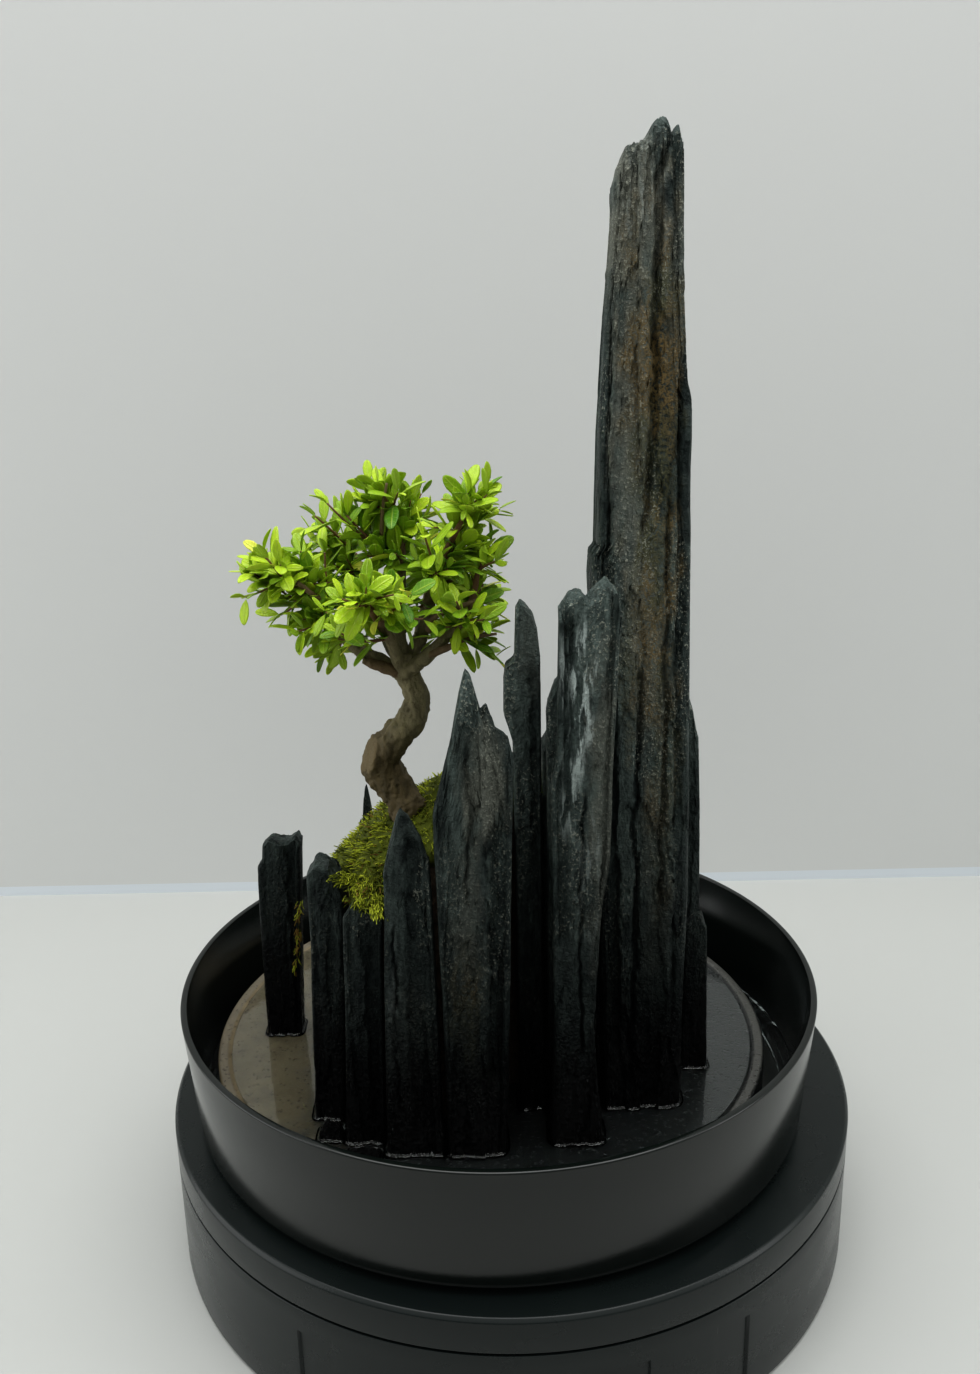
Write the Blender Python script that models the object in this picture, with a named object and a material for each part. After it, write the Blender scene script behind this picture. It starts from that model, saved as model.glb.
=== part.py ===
"""A small-leaved bonsai growing from moss on a group of upright slate stones.

The stones stand on a cement slab in a round water basin, and the basin stands on a wider
round base. Lengths are in millimetres and turn into metres where a mesh is made. The row's
frame has its origin at the middle of the base's underside, +Z up and the front towards -Y.
"""

import collections
import math
import random

import bmesh
import bpy
import numpy as np
from mathutils import Vector
from mathutils.bvhtree import BVHTree

MM = 0.001
GAP = 0.3
SIDES = 64

# ---- base: a housing with a locating neck, and a cover that caps it ----
BASE_RADIUS = 165.0
BASE_WALL = 3.0
BASE_CHAMFER = 1.5
HOUSING_HEIGHT = 52.0
SEAM = 1.2
COVER_HEIGHT = 15.2
NECK_HEIGHT = 8.0
NECK_INSET = 2.6
RECESS_DEPTH = 1.3
RECESS_TOP = 41.0
SLOT_HALF_ANGLE = 2.9
SLOT_ANGLES = (-29.0, 31.0, 151.0, 211.0)
PANEL_ANGLE = 3.0
PANEL_HALF_ANGLE = 14.5
PANEL_BOTTOM = 12.0
BUTTON_ANGLE = -2.5
BUTTON_WIDTH = 20.0
BUTTON_HEIGHT = 9.0
BUTTON_THICKNESS = 1.0

# ---- basin: an open round tray that stands a little off the base's middle ----
BASIN_CENTRE = (-5.0, -9.0)
BASIN_RADIUS = 150.0
BASIN_HEIGHT = 58.8
BASIN_WALL = 3.0
BASIN_FLOOR = 3.5
BASIN_TAPER = 4.2
BASIN_FILLET = 7.5
MOAT_DEPTH = 7.0

# ---- cement slab: a shallow round dish that holds a film of water ----
MOAT_WIDTH = 12.3
SLAB_SHIFT = (-4.0, -4.5)
SLAB_THICKNESS = 25.2
SLAB_LIP_HEIGHT = 1.5
SLAB_LIP_WIDTH = 4.0
FILM_THICKNESS = 0.9

# ---- stones: a factor on every height given above the stones' feet ----
STONE_RISE = 1.0

# ---- moss, soil and tree ----
MOSS_THICKNESS = 7.0
FOOT_SINK = 6.0
TREE_FOOT = (-37.0, -51.0)
TREE_SCALE = 1.0
LEAF_LENGTH = 13.5
LEAF_WIDTH = 6.4
LEAF_THICKNESS = 0.45
LEAF_CLEARANCE = 0.4
STEM_RADIUS = 0.75
ROOT_DEPTH = 5.0

# ---- sizes that follow from those above ----
COVER_BOTTOM = HOUSING_HEIGHT + SEAM
BASE_HEIGHT = COVER_BOTTOM + COVER_HEIGHT
BASIN_BOTTOM = BASE_HEIGHT + GAP
BASIN_INNER_TOP = BASIN_RADIUS - BASIN_WALL
BASIN_INNER_FLOOR = BASIN_RADIUS - BASIN_TAPER - BASIN_WALL
FLOOR_Z = BASIN_BOTTOM + BASIN_FLOOR
SLAB_BOTTOM = FLOOR_Z + GAP
SLAB_RADIUS = BASIN_INNER_FLOOR - MOAT_WIDTH
DISH_Z = SLAB_BOTTOM + SLAB_THICKNESS
FILM_BOTTOM = DISH_Z + GAP
STONE_FOOT = DISH_Z + GAP
# Plan positions inside the basin are given for a slab of this radius and spread with it.
DRAWN_SLAB_RADIUS = 130.5
SPREAD = SLAB_RADIUS / DRAWN_SLAB_RADIUS


# =============================== general helpers ===============================
def clear_scene():
    for obj in list(bpy.data.objects):
        bpy.data.objects.remove(obj)


def material(name, colour, roughness, metallic=0.0):
    """A plain Principled BSDF, made once for each name."""
    made = bpy.data.materials.get(name)
    if made:
        return made
    made = bpy.data.materials.new(name)
    made.use_nodes = True
    shader = made.node_tree.nodes["Principled BSDF"]
    shader.inputs["Base Color"].default_value = (*colour, 1.0)
    shader.inputs["Roughness"].default_value = roughness
    shader.inputs["Metallic"].default_value = metallic
    return made


def base_plastic():
    return material("base_plastic", (0.055, 0.058, 0.055), 0.35)


def basin_plastic():
    return material("basin_plastic", (0.05, 0.053, 0.05), 0.22)


def slate():
    return material("slate", (0.05, 0.055, 0.058), 0.45)


def bark():
    return material("bark", (0.21, 0.15, 0.085), 0.75)


def twig_green():
    return material("leaf", (0.16, 0.33, 0.04), 0.35)


def add_object(name, points, faces, look):
    """An object at the world's origin from points in millimetres."""
    mesh = bpy.data.meshes.new(name)
    mesh.from_pydata([(x * MM, y * MM, z * MM) for x, y, z in points], [], faces)
    mesh.validate()
    mesh.update()
    obj = bpy.data.objects.new(name, mesh)
    obj.data.materials.append(look)
    bpy.context.scene.collection.objects.link(obj)
    return obj


class Shell:
    """A closed surface grown ring by ring. Every side quad can be left open to grow from."""

    def __init__(self):
        self.points = []
        self.faces = []

    def add_ring(self, centre, across, up, count=4, turn=0.0):
        ring = []
        for i in range(count):
            a = turn + 2 * math.pi * i / count
            ring.append(len(self.points))
            self.points.append(centre + across * math.cos(a) + up * math.sin(a))
        return ring

    def bridge(self, low, high, skip=()):
        """Joins two rings. The quads whose numbers are in skip are returned as open loops."""
        opened = {}
        for i in range(len(low)):
            j = (i + 1) % len(low)
            quad = (low[i], low[j], high[j], high[i])
            if i in skip:
                opened[i] = quad
            else:
                self.faces.append(quad)
        return opened

    def close_with_point(self, ring, point):
        tip = len(self.points)
        self.points.append(point)
        self.faces += [(ring[i], ring[(i + 1) % len(ring)], tip) for i in range(len(ring))]

    def matched(self, loop, ring):
        """ring, started at the corner that fits loop with the least twist."""
        middle = sum((self.points[i] for i in loop), Vector()) / 4
        centre = sum((self.points[i] for i in ring), Vector()) / 4

        def misfit(shift):
            total = 0.0
            for k in range(4):
                a = (self.points[loop[k]] - middle).normalized()
                b = (self.points[ring[(k + shift) % 4]] - centre).normalized()
                total += (a - b).length
            return total

        best = min(range(4), key=misfit)
        return ring[best:] + ring[:best]


def lathe(name, profile, look, centre=(0.0, 0.0), sides=SIDES, angles=None):
    """A closed (radius, z) outline, counter-clockwise, turned round a vertical axis.

    The outline either stays off the axis or starts and ends on it. With angles, a pair of
    degrees from the front, it is turned only between those and closed at both ends.
    """
    work = bmesh.new()
    start, turn = 0.0, 2 * math.pi
    if angles:
        start, turn = math.radians(angles[0]), math.radians(angles[1] - angles[0])
    cos, sin = math.cos(start - math.pi / 2), math.sin(start - math.pi / 2)
    ring = [work.verts.new((r * cos * MM, r * sin * MM, z * MM)) for r, z in profile]
    if angles:
        shape = [work.faces.new(ring)]
    else:
        on_axis = profile[0][0] == 0 and profile[-1][0] == 0
        last = len(ring) - 1 if on_axis else len(ring)
        shape = [work.edges.new((ring[i], ring[(i + 1) % len(ring)])) for i in range(last)]
    bmesh.ops.spin(
        work,
        geom=shape,
        cent=(0, 0, 0),
        axis=(0, 0, 1),
        angle=turn,
        steps=sides,
        use_duplicate=False,
        use_merge=not angles,
    )
    bmesh.ops.remove_doubles(work, verts=work.verts, dist=0.01 * MM)
    bmesh.ops.recalc_face_normals(work, faces=work.faces)
    mesh = bpy.data.meshes.new(name)
    work.to_mesh(mesh)
    work.free()
    obj = bpy.data.objects.new(name, mesh)
    obj.location = (centre[0] * MM, centre[1] * MM, 0)
    mesh.materials.append(look)
    mesh.shade_smooth()
    mesh.set_sharp_from_angle(angle=math.radians(35))
    bpy.context.scene.collection.objects.link(obj)
    return obj


def combine(obj, helper, operation):
    """A Boolean of obj with a helper object, which is hidden from then on."""
    helper.hide_render = True
    helper.display_type = "WIRE"
    modifier = obj.modifiers.new(operation.lower() + "_" + helper.name, "BOOLEAN")
    modifier.operation = operation
    modifier.solver = "EXACT"
    modifier.object = helper


def cut(obj, cutter):
    combine(obj, cutter, "DIFFERENCE")


def join(obj, addition):
    combine(obj, addition, "UNION")


def quarter_turn(centre_r, centre_z, radius, first, last, steps=5):
    """Points on an arc in the (radius, z) plane, from angle first to last in degrees."""
    arc = []
    for i in range(steps + 1):
        a = math.radians(first + (last - first) * i / steps)
        arc.append((centre_r + radius * math.cos(a), centre_z + radius * math.sin(a)))
    return arc


# =============================== base ===============================
def make_housing():
    inner = BASE_RADIUS - BASE_WALL
    neck = BASE_RADIUS - NECK_INSET - GAP
    profile = [
        (0, 0),
        (BASE_RADIUS - BASE_CHAMFER, 0),
        (BASE_RADIUS, BASE_CHAMFER),
        (BASE_RADIUS, HOUSING_HEIGHT),
        (neck, HOUSING_HEIGHT),
        (neck, HOUSING_HEIGHT + NECK_HEIGHT),
        (neck - BASE_WALL, HOUSING_HEIGHT + NECK_HEIGHT),
        (neck - BASE_WALL, HOUSING_HEIGHT - BASE_WALL),
        (inner - NECK_INSET, HOUSING_HEIGHT - 2 * BASE_WALL),
        (inner - NECK_INSET, BASE_WALL),
        (0, BASE_WALL),
    ]
    housing = lathe("base_housing", profile, base_plastic())
    outside = BASE_RADIUS + 5
    floor = BASE_RADIUS - RECESS_DEPTH
    for number, angle in enumerate(SLOT_ANGLES):
        outline = [(floor, -1), (outside, -1), (outside, RECESS_TOP), (floor, RECESS_TOP)]
        span = (angle - SLOT_HALF_ANGLE, angle + SLOT_HALF_ANGLE)
        cut(housing, lathe(f"slot_cutter_{number}", outline, base_plastic(), sides=4, angles=span))
    outline = [
        (floor, PANEL_BOTTOM),
        (outside, PANEL_BOTTOM),
        (outside, RECESS_TOP),
        (floor, RECESS_TOP),
    ]
    span = (PANEL_ANGLE - PANEL_HALF_ANGLE, PANEL_ANGLE + PANEL_HALF_ANGLE)
    cut(housing, lathe("panel_cutter", outline, base_plastic(), sides=8, angles=span))
    return housing


def make_button():
    """A pill-shaped push button on the front panel, just below its upper edge."""
    half, radius = BUTTON_WIDTH / 2, BUTTON_HEIGHT / 2
    outline = []
    for side, first in ((1, -90), (-1, 90)):
        for i in range(7):
            a = math.radians(first + 30 * i)
            outline.append((side * (half - radius) + radius * math.cos(a), radius * math.sin(a)))
    back = BASE_RADIUS - RECESS_DEPTH + GAP
    front = back + BUTTON_THICKNESS
    points = []
    for depth in (back, front):
        for across, up in outline:
            a = math.radians(BUTTON_ANGLE) + across / BASE_RADIUS
            z = RECESS_TOP - 1.2 - radius + up
            points.append((depth * math.sin(a), -depth * math.cos(a), z))
    n = len(outline)
    faces = [tuple(range(n - 1, -1, -1)), tuple(range(n, 2 * n))]
    faces += [(i, (i + 1) % n, n + (i + 1) % n, n + i) for i in range(n)]
    return add_object("front_button", points, faces, material("button", (0.01, 0.01, 0.012), 0.3))


def make_cover():
    """A cap whose skirt drops over the housing's neck and leaves the seam open."""
    skirt_inner = BASE_RADIUS - NECK_INSET
    profile = [
        (0, BASE_HEIGHT - BASE_WALL),
        (skirt_inner, BASE_HEIGHT - BASE_WALL),
        (skirt_inner, COVER_BOTTOM),
        (BASE_RADIUS, COVER_BOTTOM),
        (BASE_RADIUS, BASE_HEIGHT - BASE_CHAMFER),
        (BASE_RADIUS - BASE_CHAMFER, BASE_HEIGHT),
        (0, BASE_HEIGHT),
    ]
    return lathe("base_cover", profile, base_plastic())


# =============================== basin, slab and water ===============================
def basin_inner_radius(z):
    """The inside radius of the basin's tapered wall at height z."""
    share = (z - FLOOR_Z) / (BASIN_BOTTOM + BASIN_HEIGHT - FLOOR_Z)
    return BASIN_INNER_FLOOR + (BASIN_INNER_TOP - BASIN_INNER_FLOOR) * share


def make_basin():
    top = BASIN_BOTTOM + BASIN_HEIGHT
    low = BASIN_RADIUS - BASIN_TAPER
    corner = (low - BASIN_FILLET, BASIN_BOTTOM + BASIN_FILLET)
    profile = [(0, BASIN_BOTTOM), *quarter_turn(*corner, BASIN_FILLET, -90, 0)]
    profile += [(BASIN_RADIUS, top - 0.8), (BASIN_RADIUS - 0.8, top)]
    profile += [(BASIN_INNER_TOP + 0.6, top), (BASIN_INNER_TOP, top - 0.6)]
    inner = (BASIN_INNER_FLOOR - 3.0, FLOOR_Z + 3.0)
    profile += quarter_turn(*inner, 3.0, 0, -90, 3)
    profile += [(0, FLOOR_Z)]
    return lathe("basin", profile, basin_plastic(), BASIN_CENTRE)


def slab_centre():
    return BASIN_CENTRE[0] + SLAB_SHIFT[0], BASIN_CENTRE[1] + SLAB_SHIFT[1]


def make_slab():
    lip = DISH_Z + SLAB_LIP_HEIGHT
    profile = [
        (0, SLAB_BOTTOM),
        (SLAB_RADIUS - 4, SLAB_BOTTOM),
        (SLAB_RADIUS, SLAB_BOTTOM + 4),
        (SLAB_RADIUS, lip - 1),
        (SLAB_RADIUS - 1, lip),
        (SLAB_RADIUS - SLAB_LIP_WIDTH, lip),
        (SLAB_RADIUS - SLAB_LIP_WIDTH - 2, DISH_Z),
        (0, DISH_Z),
    ]
    cement = material("cement", (0.32, 0.27, 0.2), 0.8)
    return lathe("cement_slab", profile, cement, slab_centre())


def make_moat_water():
    """The water between the slab's side and the basin's wall, as one ring."""
    bottom, top = FLOOR_Z + GAP, FLOOR_Z + MOAT_DEPTH
    corner = 3.0
    inside = SLAB_RADIUS + math.hypot(*SLAB_SHIFT) + GAP
    profile = [
        (inside, bottom),
        (basin_inner_radius(bottom) - corner - GAP, bottom),
        (basin_inner_radius(bottom + corner) - GAP, bottom + corner),
        (basin_inner_radius(top) - GAP, top),
        (inside, top),
    ]
    water = material("water", (0.03, 0.035, 0.035), 0.05)
    return lathe("moat_water", profile, water, BASIN_CENTRE)


# The shore round the whole group of stones: plan points from the basin's middle.
SHORE = [
    (-115, 3),
    (-114, -18),
    (-95, -20),
    (-94, -58),
    (-85, -88),
    (-79, -97),
    (-62, -106),
    (-8, -108),
    (45, -101),
    (82, -80),
    (96, -50),
    (96, -22),
    (80, -14),
    (28, 4),
    (-48, 5),
]


def make_film():
    """The film of water in the slab's dish, open where the stones stand."""
    radius = SLAB_RADIUS - SLAB_LIP_WIDTH - 2 - GAP
    top = FILM_BOTTOM + FILM_THICKNESS
    outline = [(0, FILM_BOTTOM), (radius, FILM_BOTTOM), (radius, top), (0, top)]
    water = material("water", (0.03, 0.035, 0.035), 0.05)
    film = lathe("dish_water", outline, water, slab_centre())
    shore = [in_basin(x, y) for x, y in SHORE]
    cut(film, prism("shore_cutter", shore, DISH_Z - 3, DISH_Z + 9, water))
    return film


# =============================== stones ===============================
def in_basin(x, y):
    """A plan point given from the basin's middle, in the row's frame."""
    return BASIN_CENTRE[0] + x * SPREAD, BASIN_CENTRE[1] + y * SPREAD


def at_rise(rise):
    """A height given above the stones' feet, in the row's frame."""
    return STONE_FOOT + rise * STONE_RISE


def prism(name, outline, bottom, top, look):
    """A plan outline, in either direction round, between two heights."""
    area = sum(a[0] * b[1] - b[0] * a[1] for a, b in zip(outline, outline[1:] + outline[:1]))
    if area < 0:
        outline = outline[::-1]
    n = len(outline)
    points = [(x, y, bottom) for x, y in outline] + [(x, y, top) for x, y in outline]
    faces = [tuple(range(n - 1, -1, -1)), tuple(range(n, 2 * n))]
    faces += [(i, (i + 1) % n, n + (i + 1) % n, n + i) for i in range(n)]
    return add_object(name, points, faces, look)


# A stone is its left and right outlines as (rise, x), the front and back of its foot and of
# its crown as y, and its skyline as (share of the width, rise), from the basin's middle.
Stone = collections.namedtuple("Stone", "left right foot crown skyline")
STONES = {
    "stone_peak": Stone(
        left=[
            (0, 43),
            (228, 37.7),
            (238, 38.2),
            (241, 40.2),
            (284, 41),
            (325, 43.2),
            (355, 45.5),
            (388, 46.5),
        ],
        right=[(0, 78), (100, 79.5), (215, 77.3), (291, 76.2), (310, 74), (342, 72.2), (388, 71)],
        foot=(-77, -31),
        crown=(-67, -45),
        skyline=[
            (0, 369),
            (0.05, 375),
            (0.18, 381.5),
            (0.42, 383),
            (0.56, 388.5),
            (0.68, 391.5),
            (0.79, 391),
            (0.85, 386),
            (0.95, 389),
            (1, 383),
        ],
    ),
    "stone_shield": Stone(
        left=[(0, 20), (53, 22), (104, 21), (153, 20.5), (166, 23), (219, 24)],
        right=[(0, 42), (52, 38), (104, 41), (124, 44), (161, 45), (211, 47), (228, 49)],
        foot=(-99, -81),
        crown=(-96, -83),
        skyline=[
            (0, 223),
            (0.16, 229),
            (0.34, 230),
            (0.42, 227),
            (0.56, 231),
            (0.72, 234),
            (0.88, 230),
            (1, 221),
        ],
    ),
    "stone_spire": Stone(
        left=[(0, 8), (165, 7.5), (176, 4), (188, 5), (198, 6.5), (202, 9), (222, 9.5)],
        right=[(0, 19), (188, 19), (206, 18), (222, 16.5)],
        foot=(-76, -58),
        crown=(-73, -61),
        skyline=[(0, 219), (0.35, 222), (0.7, 219), (1, 208)],
    ),
    "stone_wedge": Stone(
        left=[(0, 20.5), (178, 20.6), (188, 22)],
        right=[(0, 34), (170, 31), (195, 29)],
        foot=(-80, -62),
        crown=(-79, -66),
        skyline=[(0, 184), (0.3, 191), (0.7, 196), (1, 189)],
    ),
    "stone_rear": Stone(
        left=[(0, 19.5), (175, 19.8)],
        right=[(0, 41.4), (175, 37.4)],
        foot=(-56, -34),
        crown=(-55, -38),
        skyline=[(0, 158), (0.3, 170), (0.6, 176), (1, 166)],
    ),
    "stone_fang": Stone(
        left=[(0, -22), (57, -22.5), (115, -23.2), (144, -24.2), (153, -23)],
        right=[(0, 2), (21, 3), (57, 5), (108, 6), (174, 8)],
        foot=(-106, -83),
        crown=(-101, -86),
        skyline=[
            (0, 149),
            (0.23, 176),
            (0.35, 194),
            (0.42, 202),
            (0.48, 200),
            (0.6, 186),
            (0.67, 189),
            (0.77, 179),
            (0.94, 175),
            (1, 168),
        ],
    ),
    "stone_blade": Stone(
        left=[(0, -47), (27, -46), (72, -45), (114, -43.2), (127, -43), (140, -42)],
        right=[(0, -23), (50, -23.5), (112, -24.6), (134, -25.4), (140, -27)],
        foot=(-104, -90),
        crown=(-101, -92),
        skyline=[
            (0, 124),
            (0.12, 133),
            (0.33, 146),
            (0.42, 149),
            (0.6, 146),
            (0.85, 137),
            (1, 128),
        ],
    ),
    "stone_low": Stone(
        left=[(0, -64.5), (68, -61.5), (105, -60.5)],
        right=[(0, -47.8), (72, -45.8), (110, -44.2)],
        foot=(-96, -83),
        crown=(-94, -84),
        skyline=[(0, 101), (0.25, 107), (0.6, 105), (1, 102)],
    ),
    "stone_step": Stone(
        left=[(0, -80), (59, -78), (81, -77), (104, -77), (118, -76)],
        right=[(0, -66), (60, -63), (104, -61.5)],
        foot=(-80, -59),
        crown=(-79, -61),
        skyline=[(0, 113), (0.2, 117), (0.6, 116), (0.85, 110), (1, 102)],
    ),
    "stone_flank": Stone(
        left=[(0, -77), (98, -76)],
        right=[(0, -70), (98, -70)],
        foot=(-55, -18),
        crown=(-54, -20),
        skyline=[(0, 92), (0.4, 98), (0.8, 101), (1, 96)],
    ),
    "stone_left": Stone(
        left=[(0, -112), (20, -112), (73, -111), (88, -110.5), (91, -108), (103, -107)],
        right=[(0, -95), (20, -94), (101, -89.5), (105, -89.5)],
        foot=(-16, -1),
        crown=(-16, -2),
        skyline=[(0, 99), (0.18, 102), (0.45, 100), (0.7, 101), (0.88, 103), (1, 100)],
    ),
    "stone_needle": Stone(
        left=[(0, -76), (80, -72), (102, -66)],
        right=[(0, -48), (85, -50), (104, -56)],
        foot=(-13, 1),
        crown=(-12, -4),
        skyline=[
            (0, 90),
            (0.3, 99),
            (0.4, 110),
            (0.46, 102),
            (0.56, 119),
            (0.62, 126),
            (0.7, 117),
            (0.8, 102),
            (1, 90),
        ],
    ),
    "stone_back_left": Stone(
        left=[(0, -46), (110, -44)],
        right=[(0, -13), (100, -16)],
        foot=(-15, 1),
        crown=(-14, -3),
        skyline=[(0, 96), (0.25, 117), (0.5, 110), (0.75, 121), (1, 104)],
    ),
    "stone_back_right": Stone(
        left=[(0, -11), (110, -8)],
        right=[(0, 25), (112, 21)],
        foot=(-19, -3),
        crown=(-17, -7),
        skyline=[(0, 108), (0.3, 126), (0.55, 118), (0.8, 122), (1, 106)],
    ),
    "stone_right": Stone(
        left=[(0, 80.5), (150, 80.5), (172, 81.5)],
        right=[(0, 92), (109, 90), (154, 88), (170, 86)],
        foot=(-37, -20),
        crown=(-36, -24),
        skyline=[(0, 172), (0.4, 171), (0.7, 165), (1, 154)],
    ),
    "stone_right_low": Stone(
        left=[(0, 81.5), (70, 82)],
        right=[(0, 94), (70, 92), (76, 90)],
        foot=(-49, -38),
        crown=(-48, -39),
        skyline=[(0, 71), (0.5, 76), (0.8, 77), (1, 70)],
    ),
    "stone_flake": Stone(
        left=[(0, -62), (4, -61)],
        right=[(0, -49), (4, -50)],
        foot=(-106, -98),
        crown=(-105, -99),
        skyline=[(0, 3.5), (0.5, 4.5), (1, 3)],
    ),
    "stone_chip": Stone(
        left=[(0, -76), (8, -75)],
        right=[(0, -66), (8, -68)],
        foot=(-94, -84),
        crown=(-92, -85),
        skyline=[(0, 4), (0.4, 8), (1, 5)],
    ),
}
STONE_ROWS = 6
ROOF_DROP = 0.16
CORNER_CUT = 0.24
FACE_DIG = 0.1


def between(table, at):
    """A value read from (position, value) pairs in rising order."""
    return float(np.interp(at, [p[0] for p in table], [p[1] for p in table]))


def stone_point(stone, top_rise, u, b, share, dig):
    """A point of a stone: u runs from left to right, b from front (-1) to back (1).

    share is the part of the local height, and dig, from 0 to 1, how far a broken facet cuts
    in. Facets only cut inwards, so a stone stays inside its four bounding walls.
    """
    width = stone.right[-1][1] - stone.left[-1][1]
    drop = ROOF_DROP * width * abs(b) * (0.5 + dig)
    rise = max(between(stone.skyline, u) - drop, 1.0) * share
    x0, x1 = between(stone.left, rise), between(stone.right, rise)
    climb = rise / top_rise
    front, back = (low + (high - low) * climb for low, high in zip(stone.foot, stone.crown))
    corner = CORNER_CUT if u in (0, 1) and b else 0.0
    depth = b * (1 - corner - FACE_DIG * dig * abs(b))
    side = FACE_DIG * dig * (1 - abs(b)) * (0.5 - u)
    x = x0 + (x1 - x0) * (u + side)
    y = (front + back) / 2 + (back - front) / 2 * depth
    return Vector((*in_basin(x, y), at_rise(rise)))


def stone_shell(stone, seed):
    """One upright stone as a closed surface.

    Columns go up the front, right, back and left walls at the skyline's own breaks, so that
    the outline holds. The crown is a roof that falls from the skyline to front and back.
    """
    draw = random.Random(seed)
    breaks = [u for u, _ in stone.skyline]
    top_rise = max(rise for _, rise in stone.skyline)
    columns = [(u, -1) for u in breaks] + [(1, 0)]
    columns += [(u, 1) for u in reversed(breaks)] + [(0, 0)]
    digs = [draw.random() for _ in columns]
    shell, rows = Shell(), []
    for row in range(STONE_ROWS + 1):
        ring = []
        for (u, b), column_dig in zip(columns, digs):
            dig = 0.5 * column_dig + 0.5 * draw.random()
            ring.append(len(shell.points))
            shell.points.append(stone_point(stone, top_rise, u, b, row / STONE_ROWS, dig))
        rows.append(ring)
    for low, high in zip(rows, rows[1:]):
        shell.bridge(low, high)
    shell.faces.append(tuple(reversed(rows[0])))
    crown, count = rows[-1], len(breaks)
    ridge = [crown[-1]]
    for u in breaks[1:-1]:
        ridge.append(len(shell.points))
        shell.points.append(stone_point(stone, top_rise, u, 0, 1.0, 0))
    ridge.append(crown[count])
    front_edge = crown[:count]
    back_edge = crown[2 * count : count : -1]
    for i in range(count - 1):
        shell.faces.append((front_edge[i], front_edge[i + 1], ridge[i + 1], ridge[i]))
        shell.faces.append((ridge[i], ridge[i + 1], back_edge[i + 1], back_edge[i]))
    return shell


def make_stones():
    """The stones, and their surfaces for the leaves to keep clear of."""
    shells = [stone_shell(stone, seed) for seed, stone in enumerate(STONES.values())]
    for name, shell in zip(STONES, shells):
        add_object(name, shell.points, shell.faces, slate())
    return shells


# =============================== soil and moss ===============================
# The planting pocket between the stones, as plan points from the basin's middle.
POCKET = [
    (-60, -81),
    (-40, -81),
    (-22, -81),
    (2, -81),
    (2, -57),
    (18, -56),
    (18, -22),
    (-13, -22),
    (-14, -18),
    (-44, -18),
    (-69, -17),
    (-69, -57),
    (-60, -58),
]
# The moss's height above the stones' feet, by x, halfway back in the pocket.
MOSS_CREST = [(-70, 109), (-62, 114), (-49, 128), (-38, 133), (-24, 141), (18, 142)]
FRONT_SLOPE = 0.36
BACK_SLOPE = 0.25


def moss_rise(x, y):
    """The height of the moss's surface: a crest that falls to the front and to the back."""
    fall = FRONT_SLOPE * max(0.0, -51 - y) + BACK_SLOPE * max(0.0, y + 40)
    return between(MOSS_CREST, x) - fall


def ground_rise(x, y):
    return moss_rise(x, y) - MOSS_THICKNESS


def inset(outline, distance):
    """The outline, counter-clockwise, with each corner moved inwards by about distance."""
    moved = []
    for i, here in enumerate(outline):
        before, after = Vector(outline[i - 1]), Vector(outline[(i + 1) % len(outline)])
        here = Vector(here)
        a, b = (here - before).normalized(), (after - here).normalized()
        normal = Vector((-a.y, a.x)) + Vector((-b.y, b.x))
        moved.append(tuple(here + normal.normalized() * distance))
    return moved


def trunk_socket(name, look):
    """A cutter that clears the foot of the trunk all round and below."""
    foot = [(point, radius + 2 * GAP) for point, radius in trunk_path()[:3]]
    return tube_object(name, foot, 10, look, start=ROOT_DEPTH + GAP)


def make_soil():
    n = len(POCKET)
    points = [(*in_basin(x, y), STONE_FOOT) for x, y in POCKET]
    points += [(*in_basin(x, y), at_rise(ground_rise(x, y))) for x, y in POCKET]
    faces = [tuple(range(n - 1, -1, -1))]
    faces += [(i, (i + 1) % n, n + (i + 1) % n, n + i) for i in range(n)]
    centre = len(points)
    points.append((*in_basin(-24, -50), at_rise(ground_rise(-24, -50))))
    faces += [(n + i, n + (i + 1) % n, centre) for i in range(n)]
    look = material("soil", (0.045, 0.03, 0.018), 0.95)
    soil = add_object("soil", points, faces, look)
    cut(soil, trunk_socket("soil_socket", look))


def make_moss():
    """A cushion over the pocket, rounded at its edge, with a socket for the trunk."""
    rings = [(0.0, 0.06), (0.2, 0.75), (3.0, 1.0), (11.0, 1.12)]
    n = len(POCKET)
    points = []
    for distance, share in rings:
        for x, y in inset(POCKET, distance):
            rise = ground_rise(x, y) + 1.0 + MOSS_THICKNESS * share
            points.append((*in_basin(x, y), at_rise(rise)))
    top = len(points)
    points.append((*in_basin(-24, -50), at_rise(moss_rise(-24, -50) + 2.5)))
    low = len(points)
    points += [(*in_basin(x, y), at_rise(ground_rise(x, y)) + 1.2) for x, y in POCKET]
    bottom = len(points)
    points.append((*in_basin(-24, -50), at_rise(ground_rise(-24, -50)) + 1.2))
    faces = []
    for row in range(len(rings) - 1):
        for i in range(n):
            j = (i + 1) % n
            faces.append((row * n + i, row * n + j, (row + 1) * n + j, (row + 1) * n + i))
    crest = (len(rings) - 1) * n
    for i in range(n):
        j = (i + 1) % n
        faces.append((crest + i, crest + j, top))
        faces.append((low + i, low + j, j, i))
        faces.append((low + j, low + i, bottom))
    look = material("moss", (0.24, 0.3, 0.03), 0.95)
    moss = add_object("moss_cushion", points, faces, look)
    cut(moss, trunk_socket("moss_socket", look))
    return look


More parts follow.
